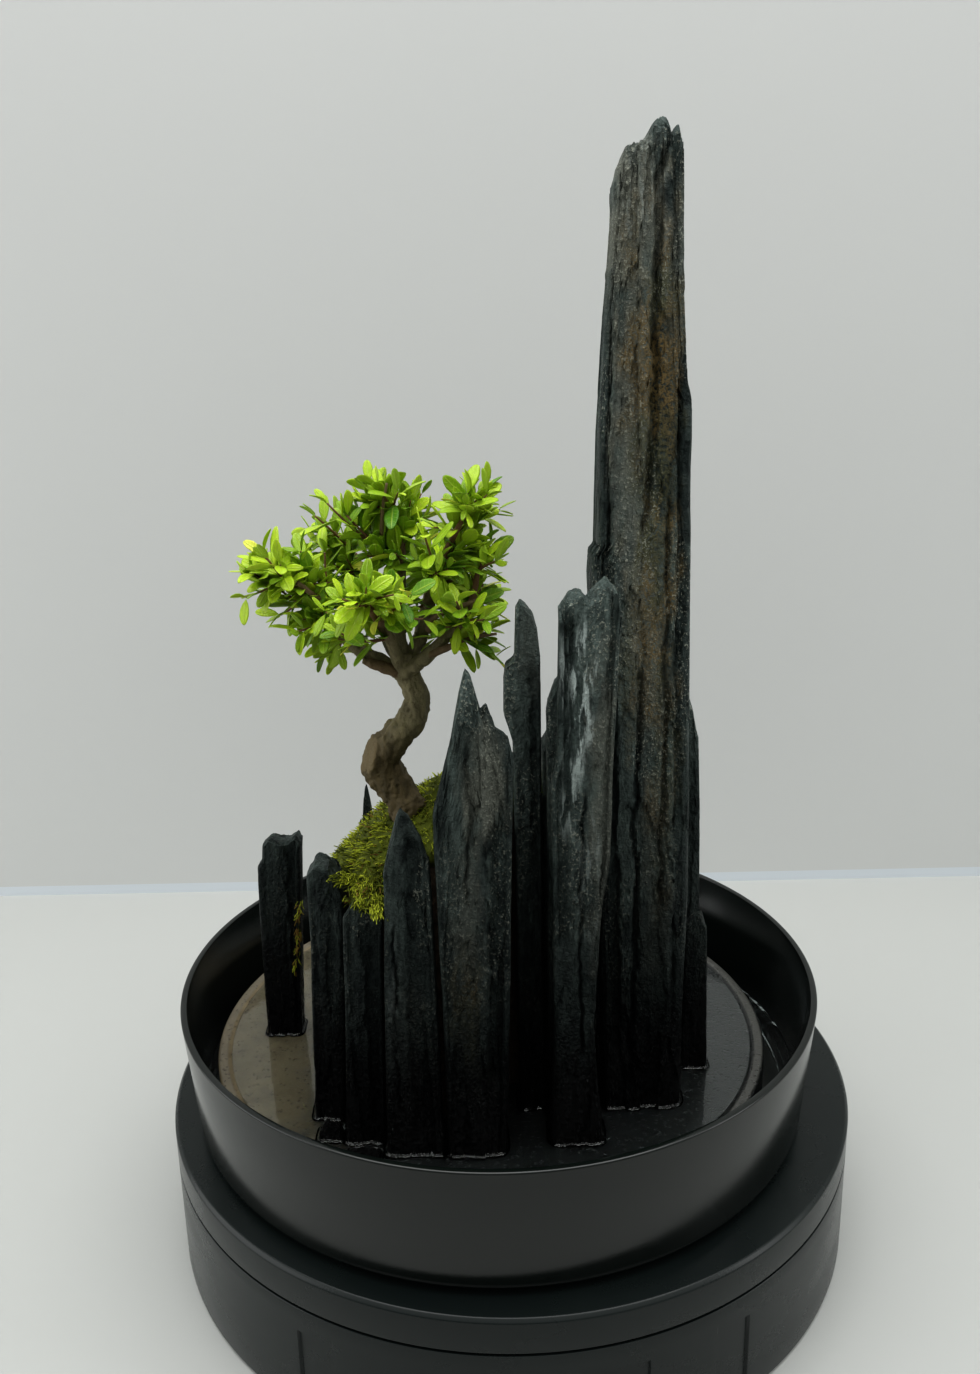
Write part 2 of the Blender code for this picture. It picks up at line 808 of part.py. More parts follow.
def make_moss_trails(look):
    """The moss that hangs over the low stone, and the strand on the left stone."""
    drape = [
        (-63, -82.2),
        (-63, -98),
        (-61, -100.5),
        (-50, -101),
        (-46, -98),
        (-46, -89.5),
        (-47, -82.2),
    ]
    over = [(-63.5, 109), (-46, 110)]
    n = len(drape)
    points = [(*in_basin(x, y), at_rise(between(over, x))) for x, y in drape]
    for x, y in inset(drape, 1.5):
        points.append((*in_basin(x, y), at_rise(between(over, x) + 4.5)))
    faces = [tuple(range(n - 1, -1, -1)), tuple(range(n, 2 * n))]
    faces += [(i, (i + 1) % n, n + (i + 1) % n, n + i) for i in range(n)]
    add_object("moss_drape", points, faces, look)
    strand = [(-96.2, 35), (-93, 47), (-92, 60), (-92.5, 74)]
    half = 1.2
    front = STONES["stone_left"].foot[0] - 2.2
    shell, rings = Shell(), []
    for x, rise in strand:
        corners = [(x - half, front), (x + half, front), (x + half, front + 1.7), (x - half, front + 1.7)]
        rings.append(range(len(shell.points), len(shell.points) + 4))
        shell.points += [Vector((*in_basin(*corner), at_rise(rise))) for corner in corners]
    for low, high in zip(rings, rings[1:]):
        shell.bridge(low, high)
    shell.faces.append(tuple(reversed(rings[0])))
    shell.faces.append(tuple(rings[-1]))
    add_object("moss_strand", shell.points, shell.faces, look)


# =============================== tree ===============================
# The trunk's centre line from the tree's foot: (x, y, z, radius).
TRUNK = [
    (1, 0, 0, 8.0),
    (-1, 0.5, 7, 7.6),
    (-6, 1, 15, 7.6),
    (-10, 1, 22, 7.9),
    (-9, 0, 28, 7.5),
    (-4, -1, 33, 7.0),
    (0, -2, 38, 6.7),
    (4, -1, 44, 6.2),
    (6, 0, 50, 5.6),
    (4, 1, 56, 5.1),
    (2, 1, 61, 4.9),
    (1, 0, 66, 5.5),
    (1, 0, 70, 4.0),
]
# Each limb's centre line, in the same way, from inside the trunk's head.
LIMBS = {
    "limb_left": [
        (-1, -1, 64, 3.0),
        (-8, -1, 67, 3.1),
        (-14, -3, 71, 2.8),
        (-20, -5, 77, 2.5),
        (-26, -7, 85, 2.2),
        (-31, -9, 92, 1.9),
        (-38, -11, 99, 1.5),
        (-43, -12, 103, 1.1),
    ],
    "limb_back_left": [
        (0, 1, 66, 2.4),
        (-4, 5, 72, 2.6),
        (-8, 9, 80, 2.3),
        (-12, 14, 90, 1.9),
        (-15, 19, 99, 1.5),
        (-19, 23, 107, 1.1),
    ],
    "limb_middle": [
        (1, 0, 68, 3.2),
        (0, 0.5, 74, 3.1),
        (0, 1, 82, 2.7),
        (1, 2, 94, 2.2),
        (2, 3, 106, 1.8),
        (1, 4, 117, 1.4),
        (-1, 4, 126, 1.0),
    ],
    "limb_upper_right": [
        (2, 1, 67, 2.6),
        (7, 2, 73, 2.7),
        (10, 2, 80, 2.5),
        (12, 1, 89, 2.1),
        (15, -1, 99, 1.8),
        (19, -4, 109, 1.4),
        (24, -7, 119, 1.1),
        (28, -8, 126, 0.9),
    ],
    "limb_right": [
        (2, -1, 64, 2.8),
        (8, -3, 67, 2.9),
        (13, -4, 71, 2.7),
        (19, -4, 77, 2.4),
        (26, -4, 83, 2.0),
        (31, -4, 90, 1.7),
        (35, -4, 97, 1.3),
        (38, -4, 103, 1.0),
    ],
    "limb_front": [
        (1, -2, 65, 2.5),
        (-1, -6, 70, 2.4),
        (-3, -12, 79, 2.1),
        (-6, -19, 87, 1.7),
        (-8, -27, 93, 1.3),
        (-9, -34, 97, 1.0),
    ],
    "limb_back": [
        (2, 2, 64, 2.5),
        (5, 7, 69, 2.4),
        (8, 13, 78, 2.1),
        (10, 20, 87, 1.7),
        (12, 28, 94, 1.3),
        (13, 35, 99, 1.0),
    ],
}
# Each spray: the limb and the point on it that it leaves, where its stem ends, and the
# number of leaf pairs along the stem.
SPRAYS = [
    ("limb_left", 7, (-52, -13, 106), 5),
    ("limb_left", 6, (-46, -24, 113), 6),
    ("limb_left", 5, (-47, -2, 95), 6),
    ("limb_left", 4, (-37, -19, 84), 6),
    ("limb_left", 3, (-32, 0, 75), 5),
    ("limb_left", 5, (-35, -14, 114), 7),
    ("limb_back_left", 5, (-29, 31, 118), 6),
    ("limb_back_left", 4, (-36, 17, 108), 6),
    ("limb_back_left", 3, (-30, 27, 92), 6),
    ("limb_middle", 6, (-5, 4, 135), 4),
    ("limb_middle", 4, (-18, -4, 126), 7),
    ("limb_middle", 5, (10, 14, 132), 6),
    ("limb_upper_right", 7, (33, -10, 134), 4),
    ("limb_upper_right", 5, (40, -3, 121), 7),
    ("limb_upper_right", 4, (13, -24, 120), 7),
    ("limb_right", 7, (43, -4, 110), 4),
    ("limb_right", 3, (42, 1, 81), 6),
    ("limb_right", 5, (41, 9, 96), 5),
    ("limb_right", 4, (24, -23, 95), 6),
    ("limb_front", 5, (-16, -45, 101), 5),
    ("limb_front", 3, (7, -36, 100), 6),
    ("limb_front", 2, (-20, -28, 85), 5),
    ("limb_back", 5, (16, 46, 105), 5),
    ("limb_back", 4, (-6, 42, 110), 6),
    ("limb_back", 3, (30, 29, 106), 6),
]
FORK = (1, 0, 68)


def tree_point(x, y, z):
    """A point given from the tree's foot, in the row's frame."""
    fx, fy = in_basin(*TREE_FOOT)
    base = at_rise(moss_rise(*TREE_FOOT)) - FOOT_SINK
    return Vector((fx + x * TREE_SCALE, fy + y * TREE_SCALE, base + z * TREE_SCALE))


def trunk_path():
    return [(tree_point(x, y, z), r * TREE_SCALE) for x, y, z, r in TRUNK]


def limb_path(name):
    return [(tree_point(x, y, z), r * TREE_SCALE) for x, y, z, r in LIMBS[name]]


def line_frames(line):
    """For each point of a line, two unit vectors square to it, carried along without twisting."""
    last = len(line) - 1
    frames, side = [], None
    for i in range(len(line)):
        along = (line[min(i + 1, last)] - line[max(i - 1, 0)]).normalized()
        if side is None:
            lean = Vector((0, 0, 1)) if abs(along.z) < 0.8 else Vector((1, 0, 0))
            side = lean.cross(along)
        side = (side - along * side.dot(along)).normalized()
        frames.append((side, along.cross(side)))
    return frames


def tube_shell(path, count, start=0.0):
    """A closed tube through (point, radius) pairs. start lengthens its first end backwards."""
    shell, rings = Shell(), []
    frames = line_frames([point for point, _ in path])
    for i, (point, radius) in enumerate(path):
        side, up = frames[i]
        if i == 0:
            point = point - side.cross(up) * start
        rings.append(shell.add_ring(point, side * radius, up * radius, count))
    for low, high in zip(rings, rings[1:]):
        shell.bridge(low, high)
    shell.faces.append(tuple(reversed(rings[0])))
    shell.faces.append(tuple(rings[-1]))
    return shell


def tube_object(name, path, count, look, start=0.0):
    shell = tube_shell(path, count, start)
    return add_object(name, shell.points, shell.faces, look)


def leaf_sections(base, direction, normal, length, width, grow=0.0):
    """Rings of four points along a leaf, and its tip. grow thickens it for clearance tests."""
    side = normal.cross(direction).normalized()
    normal = direction.cross(side)
    rings = []
    for share, wide in ((0.36, 1.0), (0.72, 0.82)):
        centre = base + direction * (length * share) - normal * (0.1 * length * share * share)
        across = side * (width * wide / 2 + grow)
        rise = normal * (LEAF_THICKNESS * TREE_SCALE / 2 + grow)
        rings.append((centre, across, rise))
    tip = base + direction * (length + grow) - normal * (0.1 * length)
    return rings, tip


def leaf_surface(base, direction, normal, length, width):
    """The leaf's outline with clearance round it, for a test against other pieces."""
    rings, tip = leaf_sections(base, direction, normal, length, width, LEAF_CLEARANCE)
    shell = Shell()
    start = shell.add_ring(base + direction * 1.5, rings[0][1] * 0.3, rings[0][2], 4)
    made = [start] + [shell.add_ring(*ring, 4) for ring in rings]
    shell.faces.append(tuple(reversed(start)))
    for low, high in zip(made, made[1:]):
        shell.bridge(low, high)
    shell.close_with_point(made[-1], tip)
    return shell


class Air:
    """What is already in place round the tree, for leaves to keep clear of."""

    def __init__(self):
        self.trees = []

    def add(self, shell, owner):
        points = shell.points
        lows = Vector(map(min, *points))
        highs = Vector(map(max, *points))
        tree = BVHTree.FromPolygons(points, shell.faces)
        self.trees.append((owner, lows, highs, tree))

    def hit(self, shell, owner):
        """Whether shell meets anything but its own stem."""
        lows = Vector(map(min, *shell.points))
        highs = Vector(map(max, *shell.points))
        mine = None
        for other, low, high, tree in self.trees:
            if other == owner:
                continue
            if any(lows[k] > high[k] or highs[k] < low[k] for k in range(3)):
                continue
            mine = mine or BVHTree.FromPolygons(shell.points, shell.faces)
            if mine.overlap(tree):
                return True
        return False


def spray_stem(limb, index, end, pairs):
    """The stem's centre line: it leaves the limb's skin and bends gently up to its end."""
    path = limb_path(limb)
    origin, thick = path[index]
    end = tree_point(*end)
    way = end - origin
    clear = thick + STEM_RADIUS * TREE_SCALE + 0.6
    if index == len(path) - 1:
        along = (origin - path[index - 1][0]).normalized()
        start = origin + along * (GAP + 0.3)
    else:
        along = (path[index + 1][0] - path[index - 1][0]).normalized()
        outwards = (way - along * way.dot(along)).normalized()
        start = origin + outwards * clear
    nodes = 2 * pairs + 1
    bow = Vector((0, 0, -0.06 * way.length))
    line = []
    for i in range(nodes + 1):
        t = i / nodes
        line.append(start.lerp(end, t) + bow * math.sin(math.pi * t))
    return line


def spray_leaves(line, number, pairs):
    """Every leaf that a stem would like to carry: (segment, side, base, direction, normal, size)."""
    draw = random.Random(100 + number)
    heart = tree_point(*FORK)
    leaves = []
    frames = line_frames(line)
    for pair in range(pairs):
        segment = 2 * pair + 1
        stem = (line[segment + 1] - line[segment]).normalized()
        side, up = frames[segment]
        first = pair % 2
        for quad in (first, first + 2):
            angle = math.pi / 2 * quad + math.pi / 4
            out = side * math.cos(angle) + up * math.sin(angle)
            opening = 0.75 + 0.5 * draw.random()
            direction = (out * opening + stem * 0.8).normalized()
            direction = (direction + Vector((0, 0, 0.12 + 0.2 * draw.random()))).normalized()
            base = (line[segment] + line[segment + 1]) / 2 + out * STEM_RADIUS
            light = Vector((0, 0, 1)) + (base - heart).normalized() * 0.7
            light += Vector([draw.uniform(-0.5, 0.5) for _ in range(3)])
            size = 0.82 + 0.33 * draw.random()
            size *= 1.0 if pair < pairs - 1 else 0.85
            leaves.append((segment, quad, base, direction, light, size))
    return leaves


def settled_leaf(air, owner, base, direction, light, size, draw):
    """The leaf's shape, turned until it clears its neighbours, or None if it never does."""
    for attempt in range(6):
        normal = light - direction * light.dot(direction)
        if normal.length < 0.2:
            normal = direction.orthogonal()
        normal.normalize()
        length = LEAF_LENGTH * TREE_SCALE * size
        width = LEAF_WIDTH * TREE_SCALE * size
        trial = leaf_surface(base, direction, normal, length, width)
        if not air.hit(trial, owner):
            air.add(trial, None)
            return direction, normal, length, width
        shift = Vector([draw.uniform(-0.45, 0.45) for _ in range(3)])
        direction = (direction + shift).normalized()
        size *= 0.94
    return None


def make_tree(stones):
    look = bark()
    air = Air()
    for stone in stones:
        air.add(stone, None)
    shell = tube_shell(trunk_path(), 10, ROOT_DEPTH)
    wood = add_object("trunk_and_limbs", shell.points, shell.faces, look)
    air.add(shell, None)
    for name in LIMBS:
        shell = tube_shell(limb_path(name), 7)
        join(wood, add_object(name, shell.points, shell.faces, look))
        air.add(shell, None)
    lines = [spray_stem(*spray) for spray in SPRAYS]
    thick = STEM_RADIUS * TREE_SCALE
    for number, line in enumerate(lines):
        air.add(tube_shell([(p, thick + LEAF_CLEARANCE) for p in line], 4), number)
    settled = {number: {} for number in range(len(SPRAYS))}
    for number, (_, _, _, pairs) in enumerate(SPRAYS):
        draw = random.Random(500 + number)
        for segment, quad, base, direction, light, size in spray_leaves(lines[number], number, pairs):
            leaf = settled_leaf(air, number, base, direction, light, size, draw)
            if leaf:
                settled[number].setdefault(segment, {})[quad] = (base, *leaf)
    for number, line in enumerate(lines):
        make_spray(f"spray_{number + 1:02d}", line, settled[number])


def make_spray(name, line, leaves):
    """A stem and its leaves as one closed surface, each leaf grown from a side of the stem."""
    shell, rings = Shell(), []
    count = len(line)
    frames = line_frames(line)
    for i, point in enumerate(line):
        side, up = frames[i]
        radius = STEM_RADIUS * TREE_SCALE * (1 - 0.45 * i / (count - 1))
        rings.append(shell.add_ring(point, side * radius, up * radius))
    for i in range(count - 1):
        wanted = leaves.get(i, {})
        for quad, loop in shell.bridge(rings[i], rings[i + 1], wanted).items():
            base, direction, normal, length, width = wanted[quad]
            sections, tip = leaf_sections(base, direction, normal, length, width)
            last = loop
            for section in sections:
                ring = shell.matched(last, shell.add_ring(*section))
                shell.bridge(last, ring)
                last = ring
            shell.close_with_point(last, tip)
    shell.faces.append(tuple(reversed(rings[0])))
    shell.faces.append(tuple(rings[-1]))
    add_object(name, shell.points, shell.faces, twig_green())


def main():
    clear_scene()
    make_housing()
    make_button()
    make_cover()
    make_basin()
    make_slab()
    make_moat_water()
    make_film()
    stones = make_stones()
    make_soil()
    make_moss_trails(make_moss())
    make_tree(stones)


main()
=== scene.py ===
"""A bonsai on a crag of slate slivers, in a round basin of water on a round base: the finished looks."""

import math

import bpy
import numpy as np
from mathutils import Matrix, Vector


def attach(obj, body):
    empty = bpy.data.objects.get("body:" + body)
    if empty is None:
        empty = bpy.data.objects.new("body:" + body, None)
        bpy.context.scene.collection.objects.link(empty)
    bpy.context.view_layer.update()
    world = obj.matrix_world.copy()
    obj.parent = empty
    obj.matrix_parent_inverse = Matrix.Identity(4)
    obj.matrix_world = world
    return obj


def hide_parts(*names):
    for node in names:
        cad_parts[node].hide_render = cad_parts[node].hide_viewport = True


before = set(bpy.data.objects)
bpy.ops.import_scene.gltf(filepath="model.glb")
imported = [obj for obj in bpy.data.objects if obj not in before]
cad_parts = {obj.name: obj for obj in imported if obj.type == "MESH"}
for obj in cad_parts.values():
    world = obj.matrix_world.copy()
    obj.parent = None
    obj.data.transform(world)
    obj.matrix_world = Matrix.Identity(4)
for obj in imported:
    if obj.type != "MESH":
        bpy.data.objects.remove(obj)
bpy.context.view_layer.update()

# Lengths are millimetres until a mesh is made.
MM = 0.001
TURN = 2 * math.pi

# ---- base and basin ----
BASE_RADIUS = 165.0
BASE_WALL = 3.0
BASE_EDGE = 1.5
HOUSING_TOP = 52.0
NECK_TOP = 60.0
NECK_RADIUS = 162.1
COVER_BOTTOM = 53.2
COVER_TOP = 68.4
RECESS_DEPTH = 1.3
RECESS_TOP = 41.0
PANEL_BOTTOM = 12.0
PANEL_ANGLE = 3.0
PANEL_HALF_ANGLE = 14.5
SLOT_HALF_ANGLE = 2.9
SLOT_ANGLES = (-29.0, 31.0, 151.0, 211.0)
BUTTON_ANGLE = -2.5
BUTTON_SIZE = (20.0, 9.0, 1.0)
BASIN_CENTRE = np.array([-5.0, -9.0])
BASIN_RADIUS = 150.0
BASIN_WALL = 3.0
BASIN_BOTTOM = 68.7
BASIN_TOP = 127.5
BASIN_TAPER = 4.2
BASIN_FILLET = 7.5
WELL_FILLET = 3.0
FLOOR_Z = 72.2

# ---- slab and water ----
SLAB_CENTRE = (-9.0, -13.5)
SLAB_RADIUS = 130.5
SLAB_BOTTOM = 72.5
DISH_Z = 97.7
LIP_Z = 99.2
LIP_WIDTH = 4.0
FILM_Z = (97.95, 98.85)
MOAT_TOP = 79.2
# The slab stands off the middle of the basin, so the water's inner edge keeps clear of it all round.
MOAT_CLEAR = 6.3
WATER_GAP = 0.3
FOOT_Z = 98.0

# ---- planting ----
PLAN = BASIN_CENTRE
TREE_FOOT = np.array([-42.0, -60.0, 225.6])
LEAF_LENGTH = 13.6
LEAF_WIDTH = 5.9
LEAF_THICKNESS = 0.42
TWIG_RADIUS = 0.72


# =============================== numbers ===============================
def ease(value, low=0.0, high=1.0):
    """t*t*(3 - 2t), where t runs from 0 at low to 1 at high."""
    t = np.clip((value - low) / (high - low), 0, 1)
    return t * t * (3 - 2 * t)


def unit(vectors):
    return vectors / np.maximum(np.linalg.norm(vectors, axis=-1, keepdims=True), 1e-9)


def spots(*parts):
    """Points from their separate coordinates, each a number or an array."""
    return np.stack(np.broadcast_arrays(*parts), -1)


def raised(plan, z):
    """Plan points (..., 2) measured from the basin's middle, with their heights."""
    return np.concatenate([plan + PLAN, z[..., None]], -1)


def full_turn(count):
    return np.arange(count) * TURN / count


def hashed(cell, seed):
    """A repeatable number from 0 to 1 for each cell: its three whole numbers, multiplied and mixed."""
    x, y, z = np.moveaxis(cell, -1, 0)
    mixed = x * 73856093 ^ y * 19349663 ^ z * 83492791 ^ (seed + 11) * 40503001
    mixed = ((mixed ^ (mixed >> 15)) * 224682251) & 0xFFFFFFFF
    mixed = ((mixed ^ (mixed >> 13)) * 326648991) & 0xFFFFFFFF
    return ((mixed ^ (mixed >> 16)) & 0xFFFFFF) / 0xFFFFFF


def noise(points, seed=0):
    """Smooth noise from 0 to 1: hashed numbers at the corners of unit cells, eased between."""
    cell = np.floor(points).astype(np.int64)
    t = points - cell
    t = t * t * (3 - 2 * t)
    total = 0.0
    for corner in np.ndindex(2, 2, 2):
        weight = np.prod(np.where(np.array(corner) == 1, t, 1 - t), axis=-1)
        total = total + weight * hashed(cell + np.array(corner), seed)
    return total


def rough(points, octaves=4, seed=0):
    """Noise added to itself at twice the scale and half the height, still from 0 to 1."""
    total, weight = 0.0, 1.0
    for octave in range(octaves):
        total = total + weight * noise(points * 2.0**octave, seed + octave)
        weight /= 2
    return total / (2 - 2.0 ** (1 - octaves))


def shards(points, seed):
    """Cells round one jittered point in each unit cube.

    Gives the nearest point's own number, the way from it, and the margin to the next nearest.
    """
    home = np.floor(points).astype(np.int64)
    best = np.full(len(points), 9.0)
    second = best.copy()
    pick = np.zeros(len(points))
    way = np.zeros((len(points), 3))
    for offset in np.ndindex(3, 3, 3):
        cell = home + np.array(offset) - 1
        centre = cell + np.stack([hashed(cell, seed + k) for k in range(3)], -1)
        gap = points - centre
        far = (gap * gap).sum(-1)
        near = far < best
        second = np.where(near, best, np.minimum(second, far))
        pick = np.where(near, hashed(cell, seed + 3), pick)
        way = np.where(near[:, None], gap, way)
        best = np.where(near, far, best)
    return pick, way, np.sqrt(second) - np.sqrt(best)


def curve_through(stations, count):
    """A Catmull-Rom curve: between stations, the cubic whose slopes are half the span of their neighbours."""
    stations = np.asarray(stations, float)
    ends = 2 * stations[[0, -1]] - stations[[1, -2]]
    padded = np.concatenate([ends[:1], stations, ends[1:]])
    t = np.linspace(0, len(stations) - 1.000001, count)
    i = t.astype(int)
    t = (t - i)[:, None]
    a, b, c, d = (padded[i + k] for k in range(4))
    return 0.5 * (2 * b + (c - a) * t + (2 * a - 5 * b + 4 * c - d) * t**2 + (3 * b - a - 3 * c + d) * t**3)


def carried_frames(lines):
    """Two unit vectors square to each line (..., along, 3), each carried on from the one before."""
    along = unit(np.gradient(lines, axis=-2))
    lean = np.where(np.abs(along[..., :1, 2:]) < 0.8, [0.0, 0.0, 1.0], [1.0, 0.0, 0.0])
    side = np.empty_like(lines)
    last = np.cross(lean, along[..., :1, :])[..., 0, :]
    for i in range(lines.shape[-2]):
        here = along[..., i, :]
        last = unit(last - here * (last * here).sum(-1, keepdims=True))
        side[..., i, :] = last
    return side, np.cross(along, side)


def spokes(side, up, count):
    """Unit vectors round a line, at even angles a: side * cos a + up * sin a."""
    angles = full_turn(count)[:, None]
    return side[..., None, :] * np.cos(angles) + up[..., None, :] * np.sin(angles)


# =============================== meshes ===============================
def grid_faces(rows, columns, round_rows=False):
    """Quads between neighbouring rows, with the last column joined to the first."""
    row = np.arange(rows if round_rows else rows - 1)[:, None]
    col = np.arange(columns)[None]
    up, on = (row + 1) % rows, (col + 1) % columns
    quads = [row * columns + col, row * columns + on, up * columns + on, up * columns + col]
    return np.stack(quads, -1).reshape(-1, 4)


class Surface:
    """Points, faces and marks of one piece, gathered part by part."""

    def __init__(self):
        self.points, self.faces, self.marks, self.count = [], [], {}, 0

    def add(self, points, faces, **marks):
        for name, value in marks.items():
            self.marks.setdefault(name, []).append(np.broadcast_to(value, len(points)))
        self.points.append(points)
        self.faces.append(faces + self.count)
        self.count += len(points)

    def add_rings(self, rings, start, end, **marks):
        """Skins of rings (how many, along, round, 3), closed by a point at each end.

        A mark is one number, or one for each skin (n,), ring (n, along) or point (n, along, round).
        """
        n, along, count = rings.shape[:3]
        points = np.concatenate([start[:, None], rings.reshape(n, -1, 3), end[:, None]], 1)
        j = np.arange(count)
        k = (j + 1) % count
        last = along * count + 1
        first_fan = np.stack([0 * j, k + 1, j + 1, j + 1], -1)
        last_fan = np.stack([0 * j + last, last - count + j, last - count + k, last - count + k], -1)
        one = np.concatenate([grid_faces(along, count) + 1, first_fan, last_fan])
        faces = one[None] + (np.arange(n) * (last + 1))[:, None, None]
        spread = {}
        for name, value in marks.items():
            value = np.asarray(value, float)
            value = value.reshape(value.shape + (1,) * (3 - value.ndim))
            value = np.broadcast_to(value, (n, along, count)).reshape(n, -1)
            spread[name] = np.concatenate([value[:, :1], value, value[:, -1:]], 1).ravel()
        self.add(points.reshape(-1, 3), faces.reshape(-1, 4), **spread)

    def mesh(self, name):
        points = np.concatenate(self.points) * MM
        faces = np.concatenate(self.faces)
        kept = faces != np.roll(faces, -1, axis=1)
        kept[kept.sum(1) < 3] = False
        sizes = kept.sum(1)
        sizes = sizes[sizes > 0]
        corners = faces[kept]
        mesh = bpy.data.meshes.new(name)
        mesh.vertices.add(len(points))
        mesh.vertices.foreach_set("co", points.astype(np.float32).ravel())
        mesh.loops.add(len(corners))
        mesh.loops.foreach_set("vertex_index", corners.astype(np.int32))
        mesh.polygons.add(len(sizes))
        mesh.polygons.foreach_set("loop_start", (np.cumsum(sizes) - sizes).astype(np.int32))
        for mark, values in self.marks.items():
            layer = mesh.attributes.new(mark, "FLOAT", "POINT")
            layer.data.foreach_set("value", np.concatenate(values).astype(np.float32))
        mesh.update(calc_edges=True)
        return mesh


def finish_piece(name, surface, look, replaced=(), crease=None):
    """The piece as an object that rides on the root and CAD nodes that it stands for."""
    mesh = surface.mesh(name)
    mesh.materials.append(look)
    mesh.shade_smooth()
    if crease:
        mesh.set_sharp_from_angle(angle=math.radians(crease))
    piece = bpy.data.objects.new(name, mesh)
    bpy.context.scene.collection.objects.link(piece)
    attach(piece, "root")
    if replaced:
        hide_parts(*replaced)
    return piece


def rounded(profile, radius, steps=4):
    """A (radius, z) outline whose corners off the axis are eased by short quadratic curves."""
    profile = [np.array(p, float) for p in profile]
    made = []
    for i, here in enumerate(profile):
        if here[0] < 1e-6:
            made.append(here)
            continue
        before, after = profile[i - 1], profile[(i + 1) % len(profile)]
        reach = min(radius, np.linalg.norm(before - here) * 0.45, np.linalg.norm(after - here) * 0.45)
        first = here + unit(before - here) * reach
        last = here + unit(after - here) * reach
        for t in np.linspace(0, 1, steps):
            made.append((1 - t) ** 2 * first + 2 * t * (1 - t) * here + t * t * last)
    return np.array(made)


def split_long(profile, longest):
    """The same outline with no step longer than the given length, except along the axis."""
    made = [profile[:1]]
    for a, b in zip(profile, profile[1:]):
        count = max(1, int(math.ceil(np.linalg.norm(b - a) / longest)))
        made.append(a + (b - a) * (np.arange(1, count + 1) / count)[:, None])
    return np.concatenate(made)


def turned(profile, angles, centre=(0.0, 0.0), dent=None):
    """A (radius, z) outline turned round a vertical axis: point = centre + radius * (sin a, -cos a).

    An outline that starts and ends on the axis is closed there by fans, and any other closes on
    itself. dent gives how far each point is pushed towards the axis, from its angle and height.
    """
    surface = Surface()
    on_axis = profile[0, 0] < 1e-6
    body = profile[1:-1] if on_axis else profile
    radius = np.repeat(body[:, :1], len(angles), 1)
    z = np.repeat(body[:, 1:], len(angles), 1)
    if dent:
        radius = radius - dent(np.degrees(angles)[None], z, radius)
    rings = np.stack([centre[0] + radius * np.sin(angles), centre[1] - radius * np.cos(angles), z], -1)
    if on_axis:
        ends = [np.array([[centre[0], centre[1], profile[i, 1]]]) for i in (0, -1)]
        surface.add_rings(rings[None], *ends)
    else:
        surface.add(rings.reshape(-1, 3), grid_faces(*rings.shape[:2], round_rows=True))
    return surface


# =============================== materials ===============================
def node(tree, kind, inputs=None, **settings):
    """A node with its settings, and its inputs given as values or as sockets to link."""
    made = tree.nodes.new("ShaderNode" + kind)
    for key, value in settings.items():
        setattr(made, key, value)
    for key, value in (inputs or {}).items():
        if isinstance(value, bpy.types.NodeSocket):
            tree.links.new(value, made.inputs[key])
        else:
            made.inputs[key].default_value = value
    return made


def maths(tree, operation, a, b, clamp=False):
    return node(tree, "Math", {0: a, 1: b}, operation=operation, use_clamp=clamp).outputs[0]


def times(tree, a, b):
    return maths(tree, "MULTIPLY", a, b)


def plus(tree, a, b):
    return maths(tree, "ADD", a, b)


def mixed(tree, share, a, b):
    """Two colours, from a at share 0 to b at share 1."""
    a, b = (c if isinstance(c, bpy.types.NodeSocket) else (*c, 1.0) for c in (a, b))
    return node(tree, "Mix", {0: share, 6: a, 7: b}, data_type="RGBA").outputs[2]


def band(tree, value, low, high, from_=0.0, to=1.0):
    """The value eased from from_ at low to to at high."""
    ends = {0: value, 1: low, 2: high, 3: from_, 4: to}
    return node(tree, "MapRange", ends, interpolation_type="SMOOTHSTEP").outputs[0]


def mark(tree, name):
    return node(tree, "Attribute", attribute_name=name).outputs["Fac"]


def cloud(tree, where, scale, detail=4.0, roughness=0.55):
    inputs = {"Vector": where, "Scale": scale, "Detail": detail, "Roughness": roughness}
    return node(tree, "TexNoise", inputs).outputs["Fac"]


def pitted(tree, where, scale):
    """The distance to the nearest of many scattered points: 0 in each pit."""
    return node(tree, "TexVoronoi", {"Vector": where, "Scale": scale}).outputs["Distance"]


def stretched(tree, where, scale):
    return node(tree, "Mapping", {"Vector": where, "Scale": scale}).outputs[0]


def object_place(tree):
    return node(tree, "TexCoord").outputs["Object"]


def grain_group():
    """Streaks and specks for stone, bark, cement and soil: coarse and fine noise on stretched places."""
    tree = bpy.data.node_groups.new("grain", "ShaderNodeTree")
    sockets = (("Stretch", "NodeSocketVector", (1, 1, 1)), ("Scale", "NodeSocketFloat", 100.0))
    for name, kind, value in sockets:
        tree.interface.new_socket(name, in_out="INPUT", socket_type=kind).default_value = value
    for name in ("Streak", "Speck", "Height"):
        tree.interface.new_socket(name, in_out="OUTPUT", socket_type="NodeSocketFloat")
    given = tree.nodes.new("NodeGroupInput").outputs
    place = object_place(tree)
    where = node(tree, "VectorMath", {0: place, 1: given["Stretch"]}, operation="MULTIPLY").outputs[0]
    streak = cloud(tree, where, given["Scale"], 5.0, 0.6)
    speck = cloud(tree, place, times(tree, given["Scale"], 6.0), 2.0, 0.7)
    height = plus(tree, times(tree, streak, 0.7), times(tree, speck, 0.3))
    made = tree.nodes.new("NodeGroupOutput")
    for name, value in (("Streak", streak), ("Speck", speck), ("Height", height)):
        tree.links.new(value, made.inputs[name])
    return tree


GRAIN = grain_group()


def grain(tree, stretch, scale):
    """The group's streaks, specks and height."""
    return node(tree, "Group", {"Stretch": stretch, "Scale": scale}, node_tree=GRAIN).outputs


